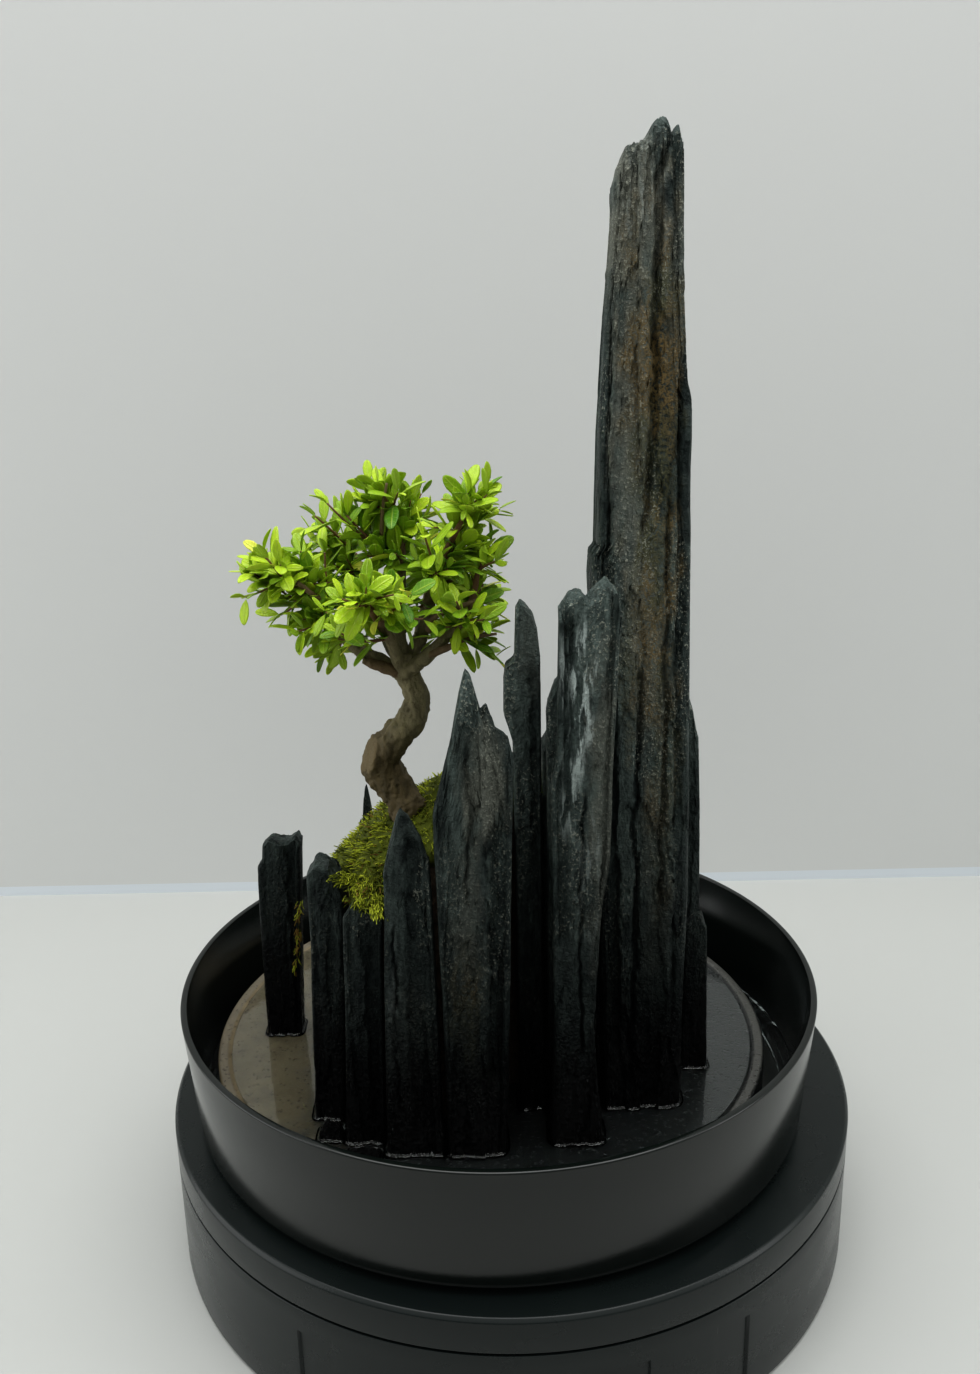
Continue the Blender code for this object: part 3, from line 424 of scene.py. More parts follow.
def new_look(name):
    """A material's name, tree and shader, with the shader's fixed numbers still to set."""
    look = bpy.data.materials.new(name)
    look.use_nodes = True
    tree = look.node_tree
    return look, tree, tree.nodes["Principled BSDF"]


def set_shader(tree, shader, **values):
    """The shader's sockets by name, with underscores for spaces, as values or as linked sockets."""
    for key, value in values.items():
        socket = shader.inputs[key.replace("_", " ")]
        if isinstance(value, bpy.types.NodeSocket):
            tree.links.new(value, socket)
        else:
            socket.default_value = value


def bump(tree, height, distance):
    return node(tree, "Bump", {"Height": height, "Distance": distance}).outputs[0]


# The height up to which the stones are wet, and how far above it painted shade darkens them towards the
# bottom, in metres.
WET_LINE = 0.14
SHADE_RISE = 0.2


def slate_look():
    """Dark fissile stone: tone by splinter, grit with painted glints, brown stains, chalky veins, painted
    shade darker towards the bottom, and a wet foot.
    """
    look, tree, shader = new_look("slate")
    streak, speck, height = grain(tree, (1.0, 1.0, 0.16), 420.0)
    place = object_place(tree)
    crumbs = cloud(tree, place, 850.0, 2.0, 0.7)
    patches = cloud(tree, stretched(tree, place, (1, 1, 0.35)), 70.0, 3.0)
    tone = maths(tree, "MULTIPLY", mark(tree, "tone"), plus(tree, streak, 0.45), clamp=True)
    colour = mixed(tree, tone, (0.002, 0.005, 0.0056), (0.15, 0.19, 0.174))
    grit = times(tree, mark(tree, "gritty"), band(tree, patches, 0.3, 0.5, 0.55, 1.0))
    gritty = mixed(tree, speck, (0.055, 0.063, 0.056), (0.26, 0.265, 0.22))
    colour = mixed(tree, grit, colour, gritty)
    rust = times(tree, mark(tree, "rust"), band(tree, crumbs, 0.36, 0.56))
    rusty = mixed(tree, band(tree, patches, 0.42, 0.62), (0.085, 0.085, 0.044), (0.18, 0.125, 0.05))
    colour = mixed(tree, rust, colour, rusty)
    chalk = times(tree, mark(tree, "chalk"), band(tree, streak, 0.46, 0.6))
    colour = mixed(tree, chalk, colour, (0.46, 0.52, 0.5))
    # Painted highlight: pale specks on the grit and on broken faces stand in for glints of light.
    rich = times(tree, maths(tree, "MAXIMUM", mark(tree, "gritty"), mark(tree, "broken")), 0.75)
    painted_glint = times(tree, band(tree, crumbs, 0.57, 0.64), rich)
    colour = mixed(tree, painted_glint, colour, (0.36, 0.37, 0.31))
    ragged = plus(tree, node(tree, "SeparateXYZ", {0: place}).outputs[2], times(tree, streak, 0.05))
    # Painted shade: the stone darkens towards the bottom, down to the wet line.
    low_shade = band(tree, ragged, WET_LINE, WET_LINE + SHADE_RISE, 0.94, 0.0)
    colour = mixed(tree, low_shade, colour, (0.001, 0.0022, 0.0024))
    wet = band(tree, ragged, WET_LINE, WET_LINE + 0.05, 1.0, 0.0)
    colour = mixed(tree, wet, colour, (0.0008, 0.001, 0.0011))
    dry = maths(tree, "SUBTRACT", band(tree, streak, 0.3, 0.7, 0.36, 0.56), times(tree, painted_glint, 0.15))
    roughness = times(tree, dry, maths(tree, "SUBTRACT", 1.0, times(tree, wet, 0.45)))
    chips = pitted(tree, stretched(tree, place, (1, 1, 0.5)), 750.0)
    relief = plus(tree, plus(tree, height, times(tree, chips, 0.45)), times(tree, crumbs, 0.9))
    set_shader(tree, shader, Base_Color=colour, Roughness=roughness, Normal=bump(tree, relief, 0.0018))
    set_shader(tree, shader, Specular_IOR_Level=0.11)
    return look


def plastic_look(name, dark, pale, roughness, specular):
    """Moulded plastic: faint mottling in the colour, and wiped patches in the gloss."""
    look, tree, shader = new_look(name)
    patches = cloud(tree, stretched(tree, object_place(tree), (1, 1, 2.2)), 14.0)
    fine = cloud(tree, object_place(tree), 900.0, 2.0)
    colour = mixed(tree, patches, dark, pale)
    wiped = band(tree, patches, 0.3, 0.75, roughness - 0.04, roughness + 0.07)
    gloss = plus(tree, wiped, times(tree, fine, 0.04))
    set_shader(tree, shader, Base_Color=colour, Roughness=gloss, Normal=bump(tree, fine, 0.00002))
    set_shader(tree, shader, Specular_IOR_Level=specular)
    return look


def cement_look():
    """Sandy cast slab: pits darkened by painted shade, specks, and dark where it is wet, made near black
    there as a painted reflection of the dark stones in the water.
    """
    look, tree, shader = new_look("cement")
    streak, speck, height = grain(tree, (1.0, 1.0, 1.0), 90.0)
    pits = pitted(tree, object_place(tree), 420.0)
    x, _, z = node(tree, "SeparateXYZ", {0: object_place(tree)}).outputs
    ragged = plus(tree, x, times(tree, streak, 0.06))
    wet = band(tree, ragged, -0.075, -0.035)
    dry_colour = mixed(tree, streak, (0.045, 0.035, 0.018), (0.24, 0.19, 0.11))
    # Painted shade: the pits are darker than the sand round them.
    dry_colour = mixed(tree, band(tree, pits, 0.05, 0.3, 0.75, 0.0), dry_colour, (0.06, 0.045, 0.03))
    # Wet cement is darker, and here near black as well: a painted reflection of the dark stones in the water
    # over it.
    wet_and_reflection_colour = mixed(tree, speck, (0.004, 0.005, 0.005), (0.02, 0.022, 0.021))
    colour = mixed(tree, wet, dry_colour, wet_and_reflection_colour)
    lip = band(tree, z, 0.0985, 0.0990)
    colour = mixed(tree, times(tree, lip, 0.4), colour, (0.12, 0.118, 0.105))
    relief = bump(tree, plus(tree, height, band(tree, pits, 0.0, 0.35)), 0.0006)
    gloss = band(tree, wet, 0, 1, 0.75, 0.35)
    set_shader(tree, shader, Base_Color=colour, Roughness=gloss, Normal=relief)
    return look


def water_look(name, tint, ripple):
    """Still water, hardly rippled, that lets light through."""
    look, tree, shader = new_look(name)
    waves = cloud(tree, stretched(tree, object_place(tree), (1, 1.6, 1)), 26.0, 3.0, 0.5)
    set_shader(tree, shader, Base_Color=(*tint, 1.0), Roughness=0.02, Normal=bump(tree, waves, ripple))
    set_shader(tree, shader, IOR=1.333, Transmission_Weight=1.0)
    return look


def soil_look():
    """Dark crumbs with a few pale grains."""
    look, tree, shader = new_look("soil")
    streak, speck, height = grain(tree, (1.0, 1.0, 1.0), 160.0)
    colour = mixed(tree, streak, (0.012, 0.008, 0.005), (0.075, 0.048, 0.026))
    colour = mixed(tree, band(tree, speck, 0.62, 0.75), colour, (0.2, 0.14, 0.08))
    set_shader(tree, shader, Base_Color=colour, Roughness=0.95, Normal=bump(tree, height, 0.002))
    return look


def moss_look():
    """Feather moss: tone by frond, darker between clumps as painted shade, paler to the tips and most on the
    clumps as painted light, a few fronds brown.
    """
    look, tree, shader = new_look("moss")
    colour = mixed(tree, mark(tree, "tone"), (0.03, 0.042, 0.003), (0.38, 0.42, 0.03))
    colour = mixed(tree, mark(tree, "tip"), colour, (0.6, 0.66, 0.06))
    colour = mixed(tree, mark(tree, "withered"), colour, (0.2, 0.1, 0.03))
    fuzz = cloud(tree, object_place(tree), 1500.0, 2.0)
    set_shader(tree, shader, Base_Color=colour, Roughness=0.7, Normal=bump(tree, fuzz, 0.0004))
    set_shader(tree, shader, Subsurface_Weight=0.15, Subsurface_Radius=(0.002, 0.003, 0.0006))
    set_shader(tree, shader, Specular_IOR_Level=0.2)
    return look


def bark_look():
    """Brown cracked bark, paler where young, reddish on twigs, with raw wood where it was cut."""
    look, tree, shader = new_look("bark")
    streak, speck, height = grain(tree, (1.0, 1.0, 0.35), 330.0)
    old = mixed(tree, streak, (0.014, 0.011, 0.0045), (0.19, 0.14, 0.06))
    young = mixed(tree, streak, (0.035, 0.03, 0.015), (0.33, 0.285, 0.15))
    colour = mixed(tree, mark(tree, "young"), old, young)
    reddish = mixed(tree, streak, (0.1, 0.045, 0.02), (0.25, 0.13, 0.065))
    colour = mixed(tree, mark(tree, "twig"), colour, reddish)
    colour = mixed(tree, band(tree, speck, 0.62, 0.74), colour, (0.05, 0.035, 0.02))
    cut = mixed(tree, speck, (0.045, 0.033, 0.014), (0.23, 0.17, 0.075))
    colour = mixed(tree, mark(tree, "raw"), colour, cut)
    set_shader(tree, shader, Base_Color=colour, Roughness=0.72, Normal=bump(tree, height, 0.0014))
    return look


def leaf_look():
    """Glossy small leaf: tone by leaf, darker inside the crown as painted shade, paler midrib and underside,
    fine side veins.
    """
    look, tree, shader = new_look("leaf")
    tone = mark(tree, "tone")
    across, along, side = mark(tree, "across"), mark(tree, "along"), mark(tree, "side")
    mottle = cloud(tree, object_place(tree), 240.0, 3.0)
    fresh = mixed(tree, mottle, (0.38, 0.56, 0.016), (0.64, 0.82, 0.045))
    deep = mixed(tree, mottle, (0.038, 0.135, 0.009), (0.155, 0.36, 0.022))
    colour = mixed(tree, tone, deep, fresh)
    colour = mixed(tree, band(tree, tone, 0.93, 0.97), colour, (0.7, 0.72, 0.09))
    slant = maths(tree, "SUBTRACT", times(tree, along, 7.0), across)
    veins = maths(tree, "PINGPONG", slant, 0.5)
    veins = band(tree, veins, 0.0, 0.14, 0.35, 0.0)
    rib = band(tree, across, 0.0, 0.2, 0.7, 0.0)
    lines = maths(tree, "MAXIMUM", veins, rib)
    colour = mixed(tree, times(tree, lines, 0.55), colour, (0.54, 0.66, 0.1))
    colour = mixed(tree, times(tree, side, 0.4), colour, (0.3, 0.42, 0.04))
    gloss = band(tree, side, 0.0, 1.0, 0.3, 0.55)
    set_shader(tree, shader, Base_Color=colour, Roughness=gloss, Normal=bump(tree, lines, 0.00025))
    set_shader(tree, shader, Subsurface_Weight=0.15, Subsurface_Radius=(0.0012, 0.002, 0.0003))
    set_shader(tree, shader, Specular_IOR_Level=0.35)
    return look


SLATE = slate_look()
BASE_PLASTIC = plastic_look("base_plastic", (0.006, 0.0088, 0.0088), (0.0095, 0.0132, 0.0126), 0.24, 0.32)
BASIN_PLASTIC = plastic_look("basin_plastic", (0.0026, 0.0042, 0.0034), (0.0044, 0.0066, 0.0056), 0.16, 0.5)
BUTTON = plastic_look("button", (0.002, 0.002, 0.003), (0.004, 0.004, 0.005), 0.25, 0.4)
CEMENT = cement_look()
FILM = water_look("water_film", (0.9, 0.93, 0.93), 0.0004)
MOAT = water_look("moat_water", (0.35, 0.4, 0.4), 0.0006)
SOIL = soil_look()
MOSS = moss_look()
BARK = bark_look()
LEAF = leaf_look()


# =============================== base and basin ===============================
def edge_angles(edges, count=360):
    """Even angles round the turn, with close extra ones at each edge given in degrees."""
    close = [edge + step for edge in edges for step in (-0.24, -0.12, 0.0, 0.12, 0.24)]
    angles = np.concatenate([np.arange(count) * 360.0 / count - 180.0, np.array(close)])
    return np.radians(np.unique(np.round((angles + 180) % 360 - 180, 4)))


def recesses(angle, z, radius):
    """Depth of the front panel and the four slots: smooth steps in angle and height, on the outer wall."""
    depth = 0.0
    spans = [(PANEL_ANGLE, PANEL_HALF_ANGLE, PANEL_BOTTOM)]
    spans += [(middle, SLOT_HALF_ANGLE, -9.0) for middle in SLOT_ANGLES]
    for middle, half, bottom in spans:
        off = np.abs((angle - middle + 180) % 360 - 180)
        inside = (1 - ease(off, half - 0.14, half + 0.14)) * (1 - ease(z, RECESS_TOP - 0.5, RECESS_TOP))
        depth = np.maximum(depth, inside * ease(z, bottom, bottom + 0.5))
    return RECESS_DEPTH * depth * ease(radius, BASE_RADIUS - 2.4, BASE_RADIUS - 1.4)


def make_housing():
    """A shell with a narrower neck, whose wall has rings where the recesses begin and end."""
    inner = BASE_RADIUS - BASE_WALL - 2.6
    outline = [
        (0, 0),
        (BASE_RADIUS - BASE_EDGE, 0),
        (BASE_RADIUS, BASE_EDGE),
        (BASE_RADIUS, HOUSING_TOP),
        (NECK_RADIUS, HOUSING_TOP),
        (NECK_RADIUS, NECK_TOP),
        (NECK_RADIUS - BASE_WALL, NECK_TOP),
        (NECK_RADIUS - BASE_WALL, HOUSING_TOP - BASE_WALL),
        (inner, HOUSING_TOP - 2 * BASE_WALL),
        (inner, BASE_WALL),
        (0, BASE_WALL),
    ]
    profile = rounded(outline, 0.5)
    steps = np.array([0.0, 0.25, 0.5])
    levels = sorted([*(PANEL_BOTTOM + steps), *(RECESS_TOP - steps), 20.0, 30.0, 46.0])
    wall = np.array([(BASE_RADIUS, z) for z in levels])
    at = np.argmax((profile[:, 0] > BASE_RADIUS - 0.01) & (profile[:, 1] > HOUSING_TOP / 2))
    profile = np.concatenate([profile[:at], wall, profile[at:]])
    edges = [PANEL_ANGLE - PANEL_HALF_ANGLE, PANEL_ANGLE + PANEL_HALF_ANGLE]
    edges += [a + s for a in SLOT_ANGLES for s in (-SLOT_HALF_ANGLE, SLOT_HALF_ANGLE)]
    surface = turned(profile, edge_angles(edges), dent=recesses)
    finish_piece("housing_shell", surface, BASE_PLASTIC, ["base_housing"], 32)


def make_cover():
    """A lid whose skirt hangs round the neck."""
    skirt = BASE_RADIUS - 2.6
    outline = [
        (0, COVER_TOP - BASE_WALL),
        (skirt, COVER_TOP - BASE_WALL),
        (skirt, COVER_BOTTOM),
        (BASE_RADIUS, COVER_BOTTOM),
        (BASE_RADIUS, COVER_TOP - BASE_EDGE),
        (BASE_RADIUS - BASE_EDGE, COVER_TOP),
        (0, COVER_TOP),
    ]
    surface = turned(rounded(outline, 0.55, 5), full_turn(360))
    finish_piece("cover_cap", surface, BASE_PLASTIC, ["base_cover"], 40)


def make_button():
    """A pill on the panel: rings of its outline, shrunk as they pass over a rounded edge."""
    across, up, thick = BUTTON_SIZE
    radius, straight = up / 2, (across - up) / 2
    angles = full_turn(64)
    surface = Surface()
    rings = []
    back = BASE_RADIUS - RECESS_DEPTH + 0.3
    middle_z = RECESS_TOP - 1.2 - radius
    for share, depth in ((1.0, 0.0), (1.0, 0.55), (0.98, 0.8), (0.93, 0.95), (0.85, 1.0), (0.4, 1.0)):
        x = straight * np.sign(np.cos(angles)) * (share > 0.5) + radius * share * np.cos(angles)
        z = radius * share * np.sin(angles)
        turn = math.radians(BUTTON_ANGLE) + x / BASE_RADIUS
        r = back + depth * thick
        rings.append(np.stack([r * np.sin(turn), -r * np.cos(turn), middle_z + z], -1))
    turn = math.radians(BUTTON_ANGLE)
    ends = [np.array([[r * math.sin(turn), -r * math.cos(turn), middle_z]]) for r in (back, back + thick)]
    surface.add_rings(np.array(rings)[None], *ends)
    finish_piece("button_cap", surface, BUTTON, ["front_button"], 40)


def arc(middle, z, radius, start, end, count):
    """Points (middle + radius * cos a, z + radius * sin a), for a from start to end in degrees."""
    a = np.radians(np.linspace(start, end, count))
    return np.stack([middle + radius * np.cos(a), z + radius * np.sin(a)], -1)


def inner_wall(z):
    """The inside radius of the basin's tapered wall."""
    share = (z - FLOOR_Z) / (BASIN_TOP - FLOOR_Z)
    return BASIN_RADIUS - BASIN_WALL - BASIN_TAPER * (1 - share)


def make_basin():
    """The bowl's outline, up its tapered wall and down inside, turned round its own axis."""
    low = BASIN_RADIUS - BASIN_TAPER
    foot = arc(low - BASIN_FILLET, BASIN_BOTTOM + BASIN_FILLET, BASIN_FILLET, -90, 0, 12)
    well = arc(low - BASIN_WALL - WELL_FILLET, FLOOR_Z + WELL_FILLET, WELL_FILLET, 0, -90, 7)
    rim = [
        (BASIN_RADIUS - 0.05, BASIN_TOP - 1.1),
        (BASIN_RADIUS - 0.05, BASIN_TOP - 0.5),
        (BASIN_RADIUS - 0.35, BASIN_TOP - 0.12),
        (BASIN_RADIUS - 0.9, BASIN_TOP),
        (inner_wall(BASIN_TOP) + 0.7, BASIN_TOP),
        (inner_wall(BASIN_TOP) + 0.2, BASIN_TOP - 0.15),
        (inner_wall(BASIN_TOP), BASIN_TOP - 0.7),
    ]
    profile = np.concatenate([[(0, BASIN_BOTTOM)], foot, rim, well, [(0, FLOOR_Z)]])
    surface = turned(split_long(profile, 30.0), full_turn(480), BASIN_CENTRE)
    finish_piece("basin_bowl", surface, BASIN_PLASTIC, ["basin"], 40)


def make_slab():
    """A cast disc with a shallow dish, its skin worn away a little by noise except in the dish."""
    outline = [
        (0, SLAB_BOTTOM),
        (SLAB_RADIUS - 4, SLAB_BOTTOM),
        (SLAB_RADIUS, SLAB_BOTTOM + 4),
        (SLAB_RADIUS, LIP_Z - 1),
        (SLAB_RADIUS - 1, LIP_Z),
        (SLAB_RADIUS - LIP_WIDTH, LIP_Z),
        (SLAB_RADIUS - LIP_WIDTH - 2, DISH_Z),
        (0, DISH_Z),
    ]
    profile = split_long(rounded(outline, 0.5), 6.0)
    surface = turned(profile, full_turn(360), SLAB_CENTRE)
    points = surface.points[0]
    crumble = rough(points / 5.0, 3, 31) - 0.5
    points[:, 2] -= np.where(points[:, 2] > DISH_Z - 0.05, 0.0, 0.25 * crumble)
    finish_piece("slab", surface, CEMENT, ["cement_slab"], 45)


def make_waters():
    """A ring of water round the slab, a gap clear of the basin, and a film in the slab's dish."""
    low = FLOOR_Z + WATER_GAP
    inside = SLAB_RADIUS + MOAT_CLEAR
    profile = np.array([
        (inside, low),
        (inner_wall(FLOOR_Z) - WELL_FILLET - WATER_GAP, low),
        (inner_wall(FLOOR_Z + WELL_FILLET) - WATER_GAP, low + WELL_FILLET),
        (inner_wall(MOAT_TOP) - WATER_GAP, MOAT_TOP),
        (inside, MOAT_TOP),
    ])
    surface = turned(profile, full_turn(240), BASIN_CENTRE)
    finish_piece("moat", surface, MOAT, ["moat_water"], 30)
    radius = SLAB_RADIUS - LIP_WIDTH - 2.0 - WATER_GAP
    low, high = FILM_Z
    edge = [(radius - 0.2, low), (radius, low + 0.2), (radius, high - 0.2), (radius - 0.3, high)]
    profile = np.array([(0, low), *edge, (0, high)])
    surface = turned(split_long(profile, 8.0), full_turn(240), SLAB_CENTRE)
    finish_piece("film", surface, FILM, ["dish_water"], 30)


make_housing()
make_cover()
make_button()
make_basin()
make_slab()
make_waters()


# =============================== stones ===============================
# A stone's left and right outlines as (rise, x), its skyline as (share of the width, rise), and the
# front and back of its foot and of its crown as y, all from the basin's middle and the stones' feet.
STONES = {
    "stone_peak": {
        "left": [
            (0, 43), (228, 37.7), (238, 38.2), (241, 40.2), (284, 41), (325, 43.2), (355, 45.5),
            (388, 46.5),
        ],
        "right": [(0, 78), (100, 79.5), (215, 77.3), (291, 76.2), (310, 74), (342, 72.2), (388, 71)],
        "skyline": [
            (0, 369), (0.05, 375), (0.18, 381.5), (0.42, 383), (0.56, 388.5), (0.68, 391.5),
            (0.79, 391), (0.85, 386), (0.95, 389), (1, 383),
        ],
        "foot": (-77, -31),
        "crown": (-67, -45),
    },
    "stone_shield": {
        "left": [(0, 20), (53, 22), (104, 21), (153, 20.5), (166, 23), (219, 24)],
        "right": [(0, 42), (52, 38), (104, 41), (124, 44), (161, 45), (211, 47), (228, 49)],
        "skyline": [
            (0, 223), (0.16, 229), (0.34, 230), (0.42, 227), (0.56, 231), (0.72, 234), (0.88, 230),
            (1, 221),
        ],
        "foot": (-99, -81),
        "crown": (-96, -83),
    },
    "stone_spire": {
        "left": [(0, 8), (165, 7.5), (176, 4), (190, 4.2), (196, 5), (198.5, 8.6), (222, 9.5)],
        "right": [(0, 19), (188, 19), (200, 18.6), (212, 17.4), (222, 16)],
        "skyline": [(0, 219), (0.2, 222), (0.5, 220), (0.8, 217), (1, 211)],
        "foot": (-76, -58),
        "crown": (-73, -61),
    },
    "stone_wedge": {
        "left": [(0, 20.5), (178, 20.6), (188, 22)],
        "right": [(0, 34), (170, 31), (195, 29)],
        "skyline": [(0, 184), (0.3, 191), (0.7, 196), (1, 189)],
        "foot": (-80, -62),
        "crown": (-79, -66),
    },
    "stone_rear": {
        "left": [(0, 19.5), (175, 19.8)],
        "right": [(0, 41.4), (175, 37.4)],
        "skyline": [(0, 158), (0.3, 170), (0.6, 176), (1, 166)],
        "foot": (-56, -34),
        "crown": (-55, -38),
    },
    "stone_fang": {
        "left": [(0, -22), (57, -22.5), (115, -23.2), (144, -24.2), (153, -23)],
        "right": [(0, 2), (21, 3), (57, 5), (108, 6), (174, 8)],
        "skyline": [
            (0, 149), (0.23, 176), (0.35, 194), (0.42, 202), (0.48, 200), (0.6, 186), (0.67, 189),
            (0.77, 179), (0.94, 175), (1, 168),
        ],
        "foot": (-106, -83),
        "crown": (-101, -86),
    },
    "stone_blade": {
        "left": [(0, -47), (27, -46), (72, -45), (114, -43.2), (127, -43), (140, -42)],
        "right": [(0, -23), (50, -23.5), (112, -24.6), (134, -25.4), (140, -27)],
        "skyline": [(0, 124), (0.12, 133), (0.33, 146), (0.42, 149), (0.6, 146), (0.85, 137), (1, 128)],
        "foot": (-104, -90),
        "crown": (-101, -92),
    },
    "stone_low": {
        "left": [(0, -64.5), (68, -61.5), (105, -60.5)],
        "right": [(0, -47.8), (72, -45.8), (110, -44.2)],
        "skyline": [(0, 101), (0.25, 107), (0.6, 105), (1, 102)],
        "foot": (-96, -83),
        "crown": (-94, -84),
    },
    "stone_step": {
        "left": [(0, -80), (59, -78), (81, -77), (104, -77), (118, -76)],
        "right": [(0, -66), (60, -63), (104, -61.5)],
        "skyline": [(0, 113), (0.2, 117), (0.6, 116), (0.85, 110), (1, 102)],
        "foot": (-80, -59),
        "crown": (-79, -61),
    },
    "stone_flank": {
        "left": [(0, -77), (98, -76)],
        "right": [(0, -70), (98, -70)],
        "skyline": [(0, 92), (0.4, 98), (0.8, 101), (1, 96)],
        "foot": (-55, -18),
        "crown": (-54, -20),
    },
    "stone_left": {
        "left": [(0, -112), (20, -112), (73, -111), (88, -110.5), (91, -108), (103, -107)],
        "right": [(0, -95), (20, -94), (101, -89.5), (105, -89.5)],
        "skyline": [(0, 99), (0.18, 102), (0.45, 100), (0.7, 101), (0.88, 103), (1, 100)],
        "foot": (-16, -1),
        "crown": (-16, -2),
    },
    "stone_needle": {
        "left": [(0, -76), (80, -72), (102, -66)],
        "right": [(0, -48), (85, -50), (104, -56)],
        "skyline": [
            (0, 90), (0.3, 99), (0.4, 110), (0.46, 102), (0.56, 119), (0.62, 126), (0.7, 117),
            (0.8, 102), (1, 90),
        ],
        "foot": (-13, 1),
        "crown": (-12, -4),
    },
    "stone_back_left": {
        "left": [(0, -46), (110, -44)],
        "right": [(0, -13), (100, -16)],
        "skyline": [(0, 96), (0.25, 117), (0.5, 110), (0.75, 121), (1, 104)],
        "foot": (-15, 1),
        "crown": (-14, -3),
    },
    "stone_back_right": {
        "left": [(0, -11), (110, -8)],
        "right": [(0, 25), (112, 21)],
        "skyline": [(0, 108), (0.3, 126), (0.55, 118), (0.8, 122), (1, 106)],
        "foot": (-19, -3),
        "crown": (-17, -7),
    },
    "stone_right": {
        "left": [(0, 80.5), (150, 80.5), (172, 81.5)],
        "right": [(0, 92), (109, 90), (154, 88), (170, 86)],
        "skyline": [(0, 172), (0.4, 171), (0.7, 165), (1, 154)],
        "foot": (-37, -20),
        "crown": (-36, -24),
    },
    "stone_right_low": {
        "left": [(0, 81.5), (70, 82)],
        "right": [(0, 94), (70, 92), (76, 90)],
        "skyline": [(0, 71), (0.5, 76), (0.8, 77), (1, 70)],
        "foot": (-49, -38),
        "crown": (-48, -39),
    },
    "stone_flake": {
        "left": [(0, -62), (4, -61)],
        "right": [(0, -49), (4, -50)],
        "skyline": [(0, 3.5), (0.5, 4.5), (1, 3)],
        "foot": (-106, -98),
        "crown": (-105, -99),
    },
    "stone_chip": {
        "left": [(0, -76), (8, -75)],
        "right": [(0, -66), (8, -68)],
        "skyline": [(0, 4), (0.4, 8), (1, 5)],
        "foot": (-94, -84),
        "crown": (-92, -85),
    },
}


def superellipse(half_count, width, depth, power):
    """Shares u across and b deep of |cos|^p, |sin|^p, evenly spaced by length, front and back alike."""
    a = np.linspace(0, math.pi, 2000)
    u = 0.5 + 0.5 * np.sign(np.cos(a)) * np.abs(np.cos(a)) ** power
    b = np.abs(np.sin(a)) ** power
    steps = np.hypot(np.diff(u) * width, np.diff(b) * depth / 2)
    length = np.concatenate([[0], np.cumsum(steps)])
    even = np.linspace(0, length[-1], half_count + 1)
    u, b = np.interp(even, length, u), np.interp(even, length, b)
    u = np.concatenate([u, u[-2:0:-1]])
    b = np.concatenate([b, -b[-2:0:-1]])
    return u, b


def splinter_depth(points, seed, size):
    """How far the broken face lies inside the walls, and the marks for its colour.

    Long upright shards, each set back by its own amount and tilted, carry smaller shards, fibres
    and grit. size, from 0 to 1, scales them all for a thinner stone.
    """
    sway = np.stack([rough(points / [34, 34, 110], 2, seed + k) for k in (1, 2, 3)], -1) - 0.5
    fray = np.stack([rough(points / [3, 3, 6], 3, seed + k) for k in (4, 5, 6)], -1) - 0.5
    big, big_way, big_rim = shards(points / [13, 11, 130] + sway * 0.8 + fray * 0.12, seed + 7)
    mid, mid_way, mid_rim = shards(points / [5.0, 4.4, 34] + sway * 1.0 + fray * 0.4, seed + 8)
    chip, chip_way, chip_rim = shards(points / [1.9, 1.9, 4.6] + fray * 0.8, seed + 9)
    lean = np.sin(TURN * np.stack([big * 7, big * 13], -1))
    depth = 2.8 * big**1.3 + 1.9 * (big_way[:, :2] * lean).sum(1)
    lean = np.sin(TURN * np.stack([mid * 7, mid * 13], -1))
    depth += 1.3 * mid**1.5 + 0.9 * (mid_way[:, :2] * lean).sum(1) + 0.8 * mid_way[:, 2]
    broken = ease(rough(points / [11, 11, 30], 2, seed + 12), 0.42, 0.62)
    depth += (0.2 + 0.5 * broken) * (chip + 0.9 * chip_way[:, 2])
    depth += 0.55 * (1 - ease(big_rim, 0.0, 0.05)) + 0.3 * (1 - ease(mid_rim, 0.0, 0.06))
    grit = rough(points / 1.3, 2, seed + 11) - 0.5
    depth += (0.25 + 0.5 * broken) * grit
    tone = 0.1 + 0.42 * mid + 0.3 * chip + 0.45 * grit
    tone += 0.35 * (1 - ease(chip_rim, 0.02, 0.16)) * broken
    return np.clip(depth * size, 0, 7.5), tone, broken


# Brown, gritty and chalky places: the stone, its (x, z) middle, and half sizes.
STAINS = {
    "stone_peak": [
        ("rust", (56, 395), (13, 75), 0.9),
        ("rust", (60, 330), (9, 40), 0.7),
        ("rust", (52, 300), (9, 45), 0.6),
        ("rust", (62, 250), (8, 60), 0.5),
        ("gritty", (50, 455), (13, 40), 1.0),
        ("chalk", (52, 462), (9, 26), 0.3),
        ("gritty", (48, 385), (9, 90), 0.9),
        ("gritty", (64, 430), (5, 45), 0.5),
        ("gritty", (55, 300), (9, 60), 0.6),
        ("gritty", (60, 210), (9, 70), 0.35),
    ],
    "stone_shield": [
        ("chalk", (27, 292), (7, 28), 1.0),
        ("chalk", (24, 255), (5, 26), 0.8),
        ("chalk", (30, 215), (6, 30), 0.4),
        ("gritty", (36, 240), (8, 80), 0.6),
    ],
    "stone_fang": [
        ("rust", (-17, 170), (9, 24), 0.9),
        ("rust", (-13, 130), (8, 22), 0.8),
        ("gritty", (-17, 185), (8, 60), 0.6),
        ("gritty", (-9, 255), (11, 26), 0.85),
        ("chalk", (-22, 118), (5, 10), 0.5),
    ],
    "stone_blade": [("gritty", (-40, 150), (9, 40), 0.2), ("chalk", (-46, 160), (3, 40), 0.25)],
    "stone_low": [("chalk", (-62, 160), (6, 30), 0.25)],
    "stone_spire": [("gritty", (9, 300), (8, 30), 0.2)],
}


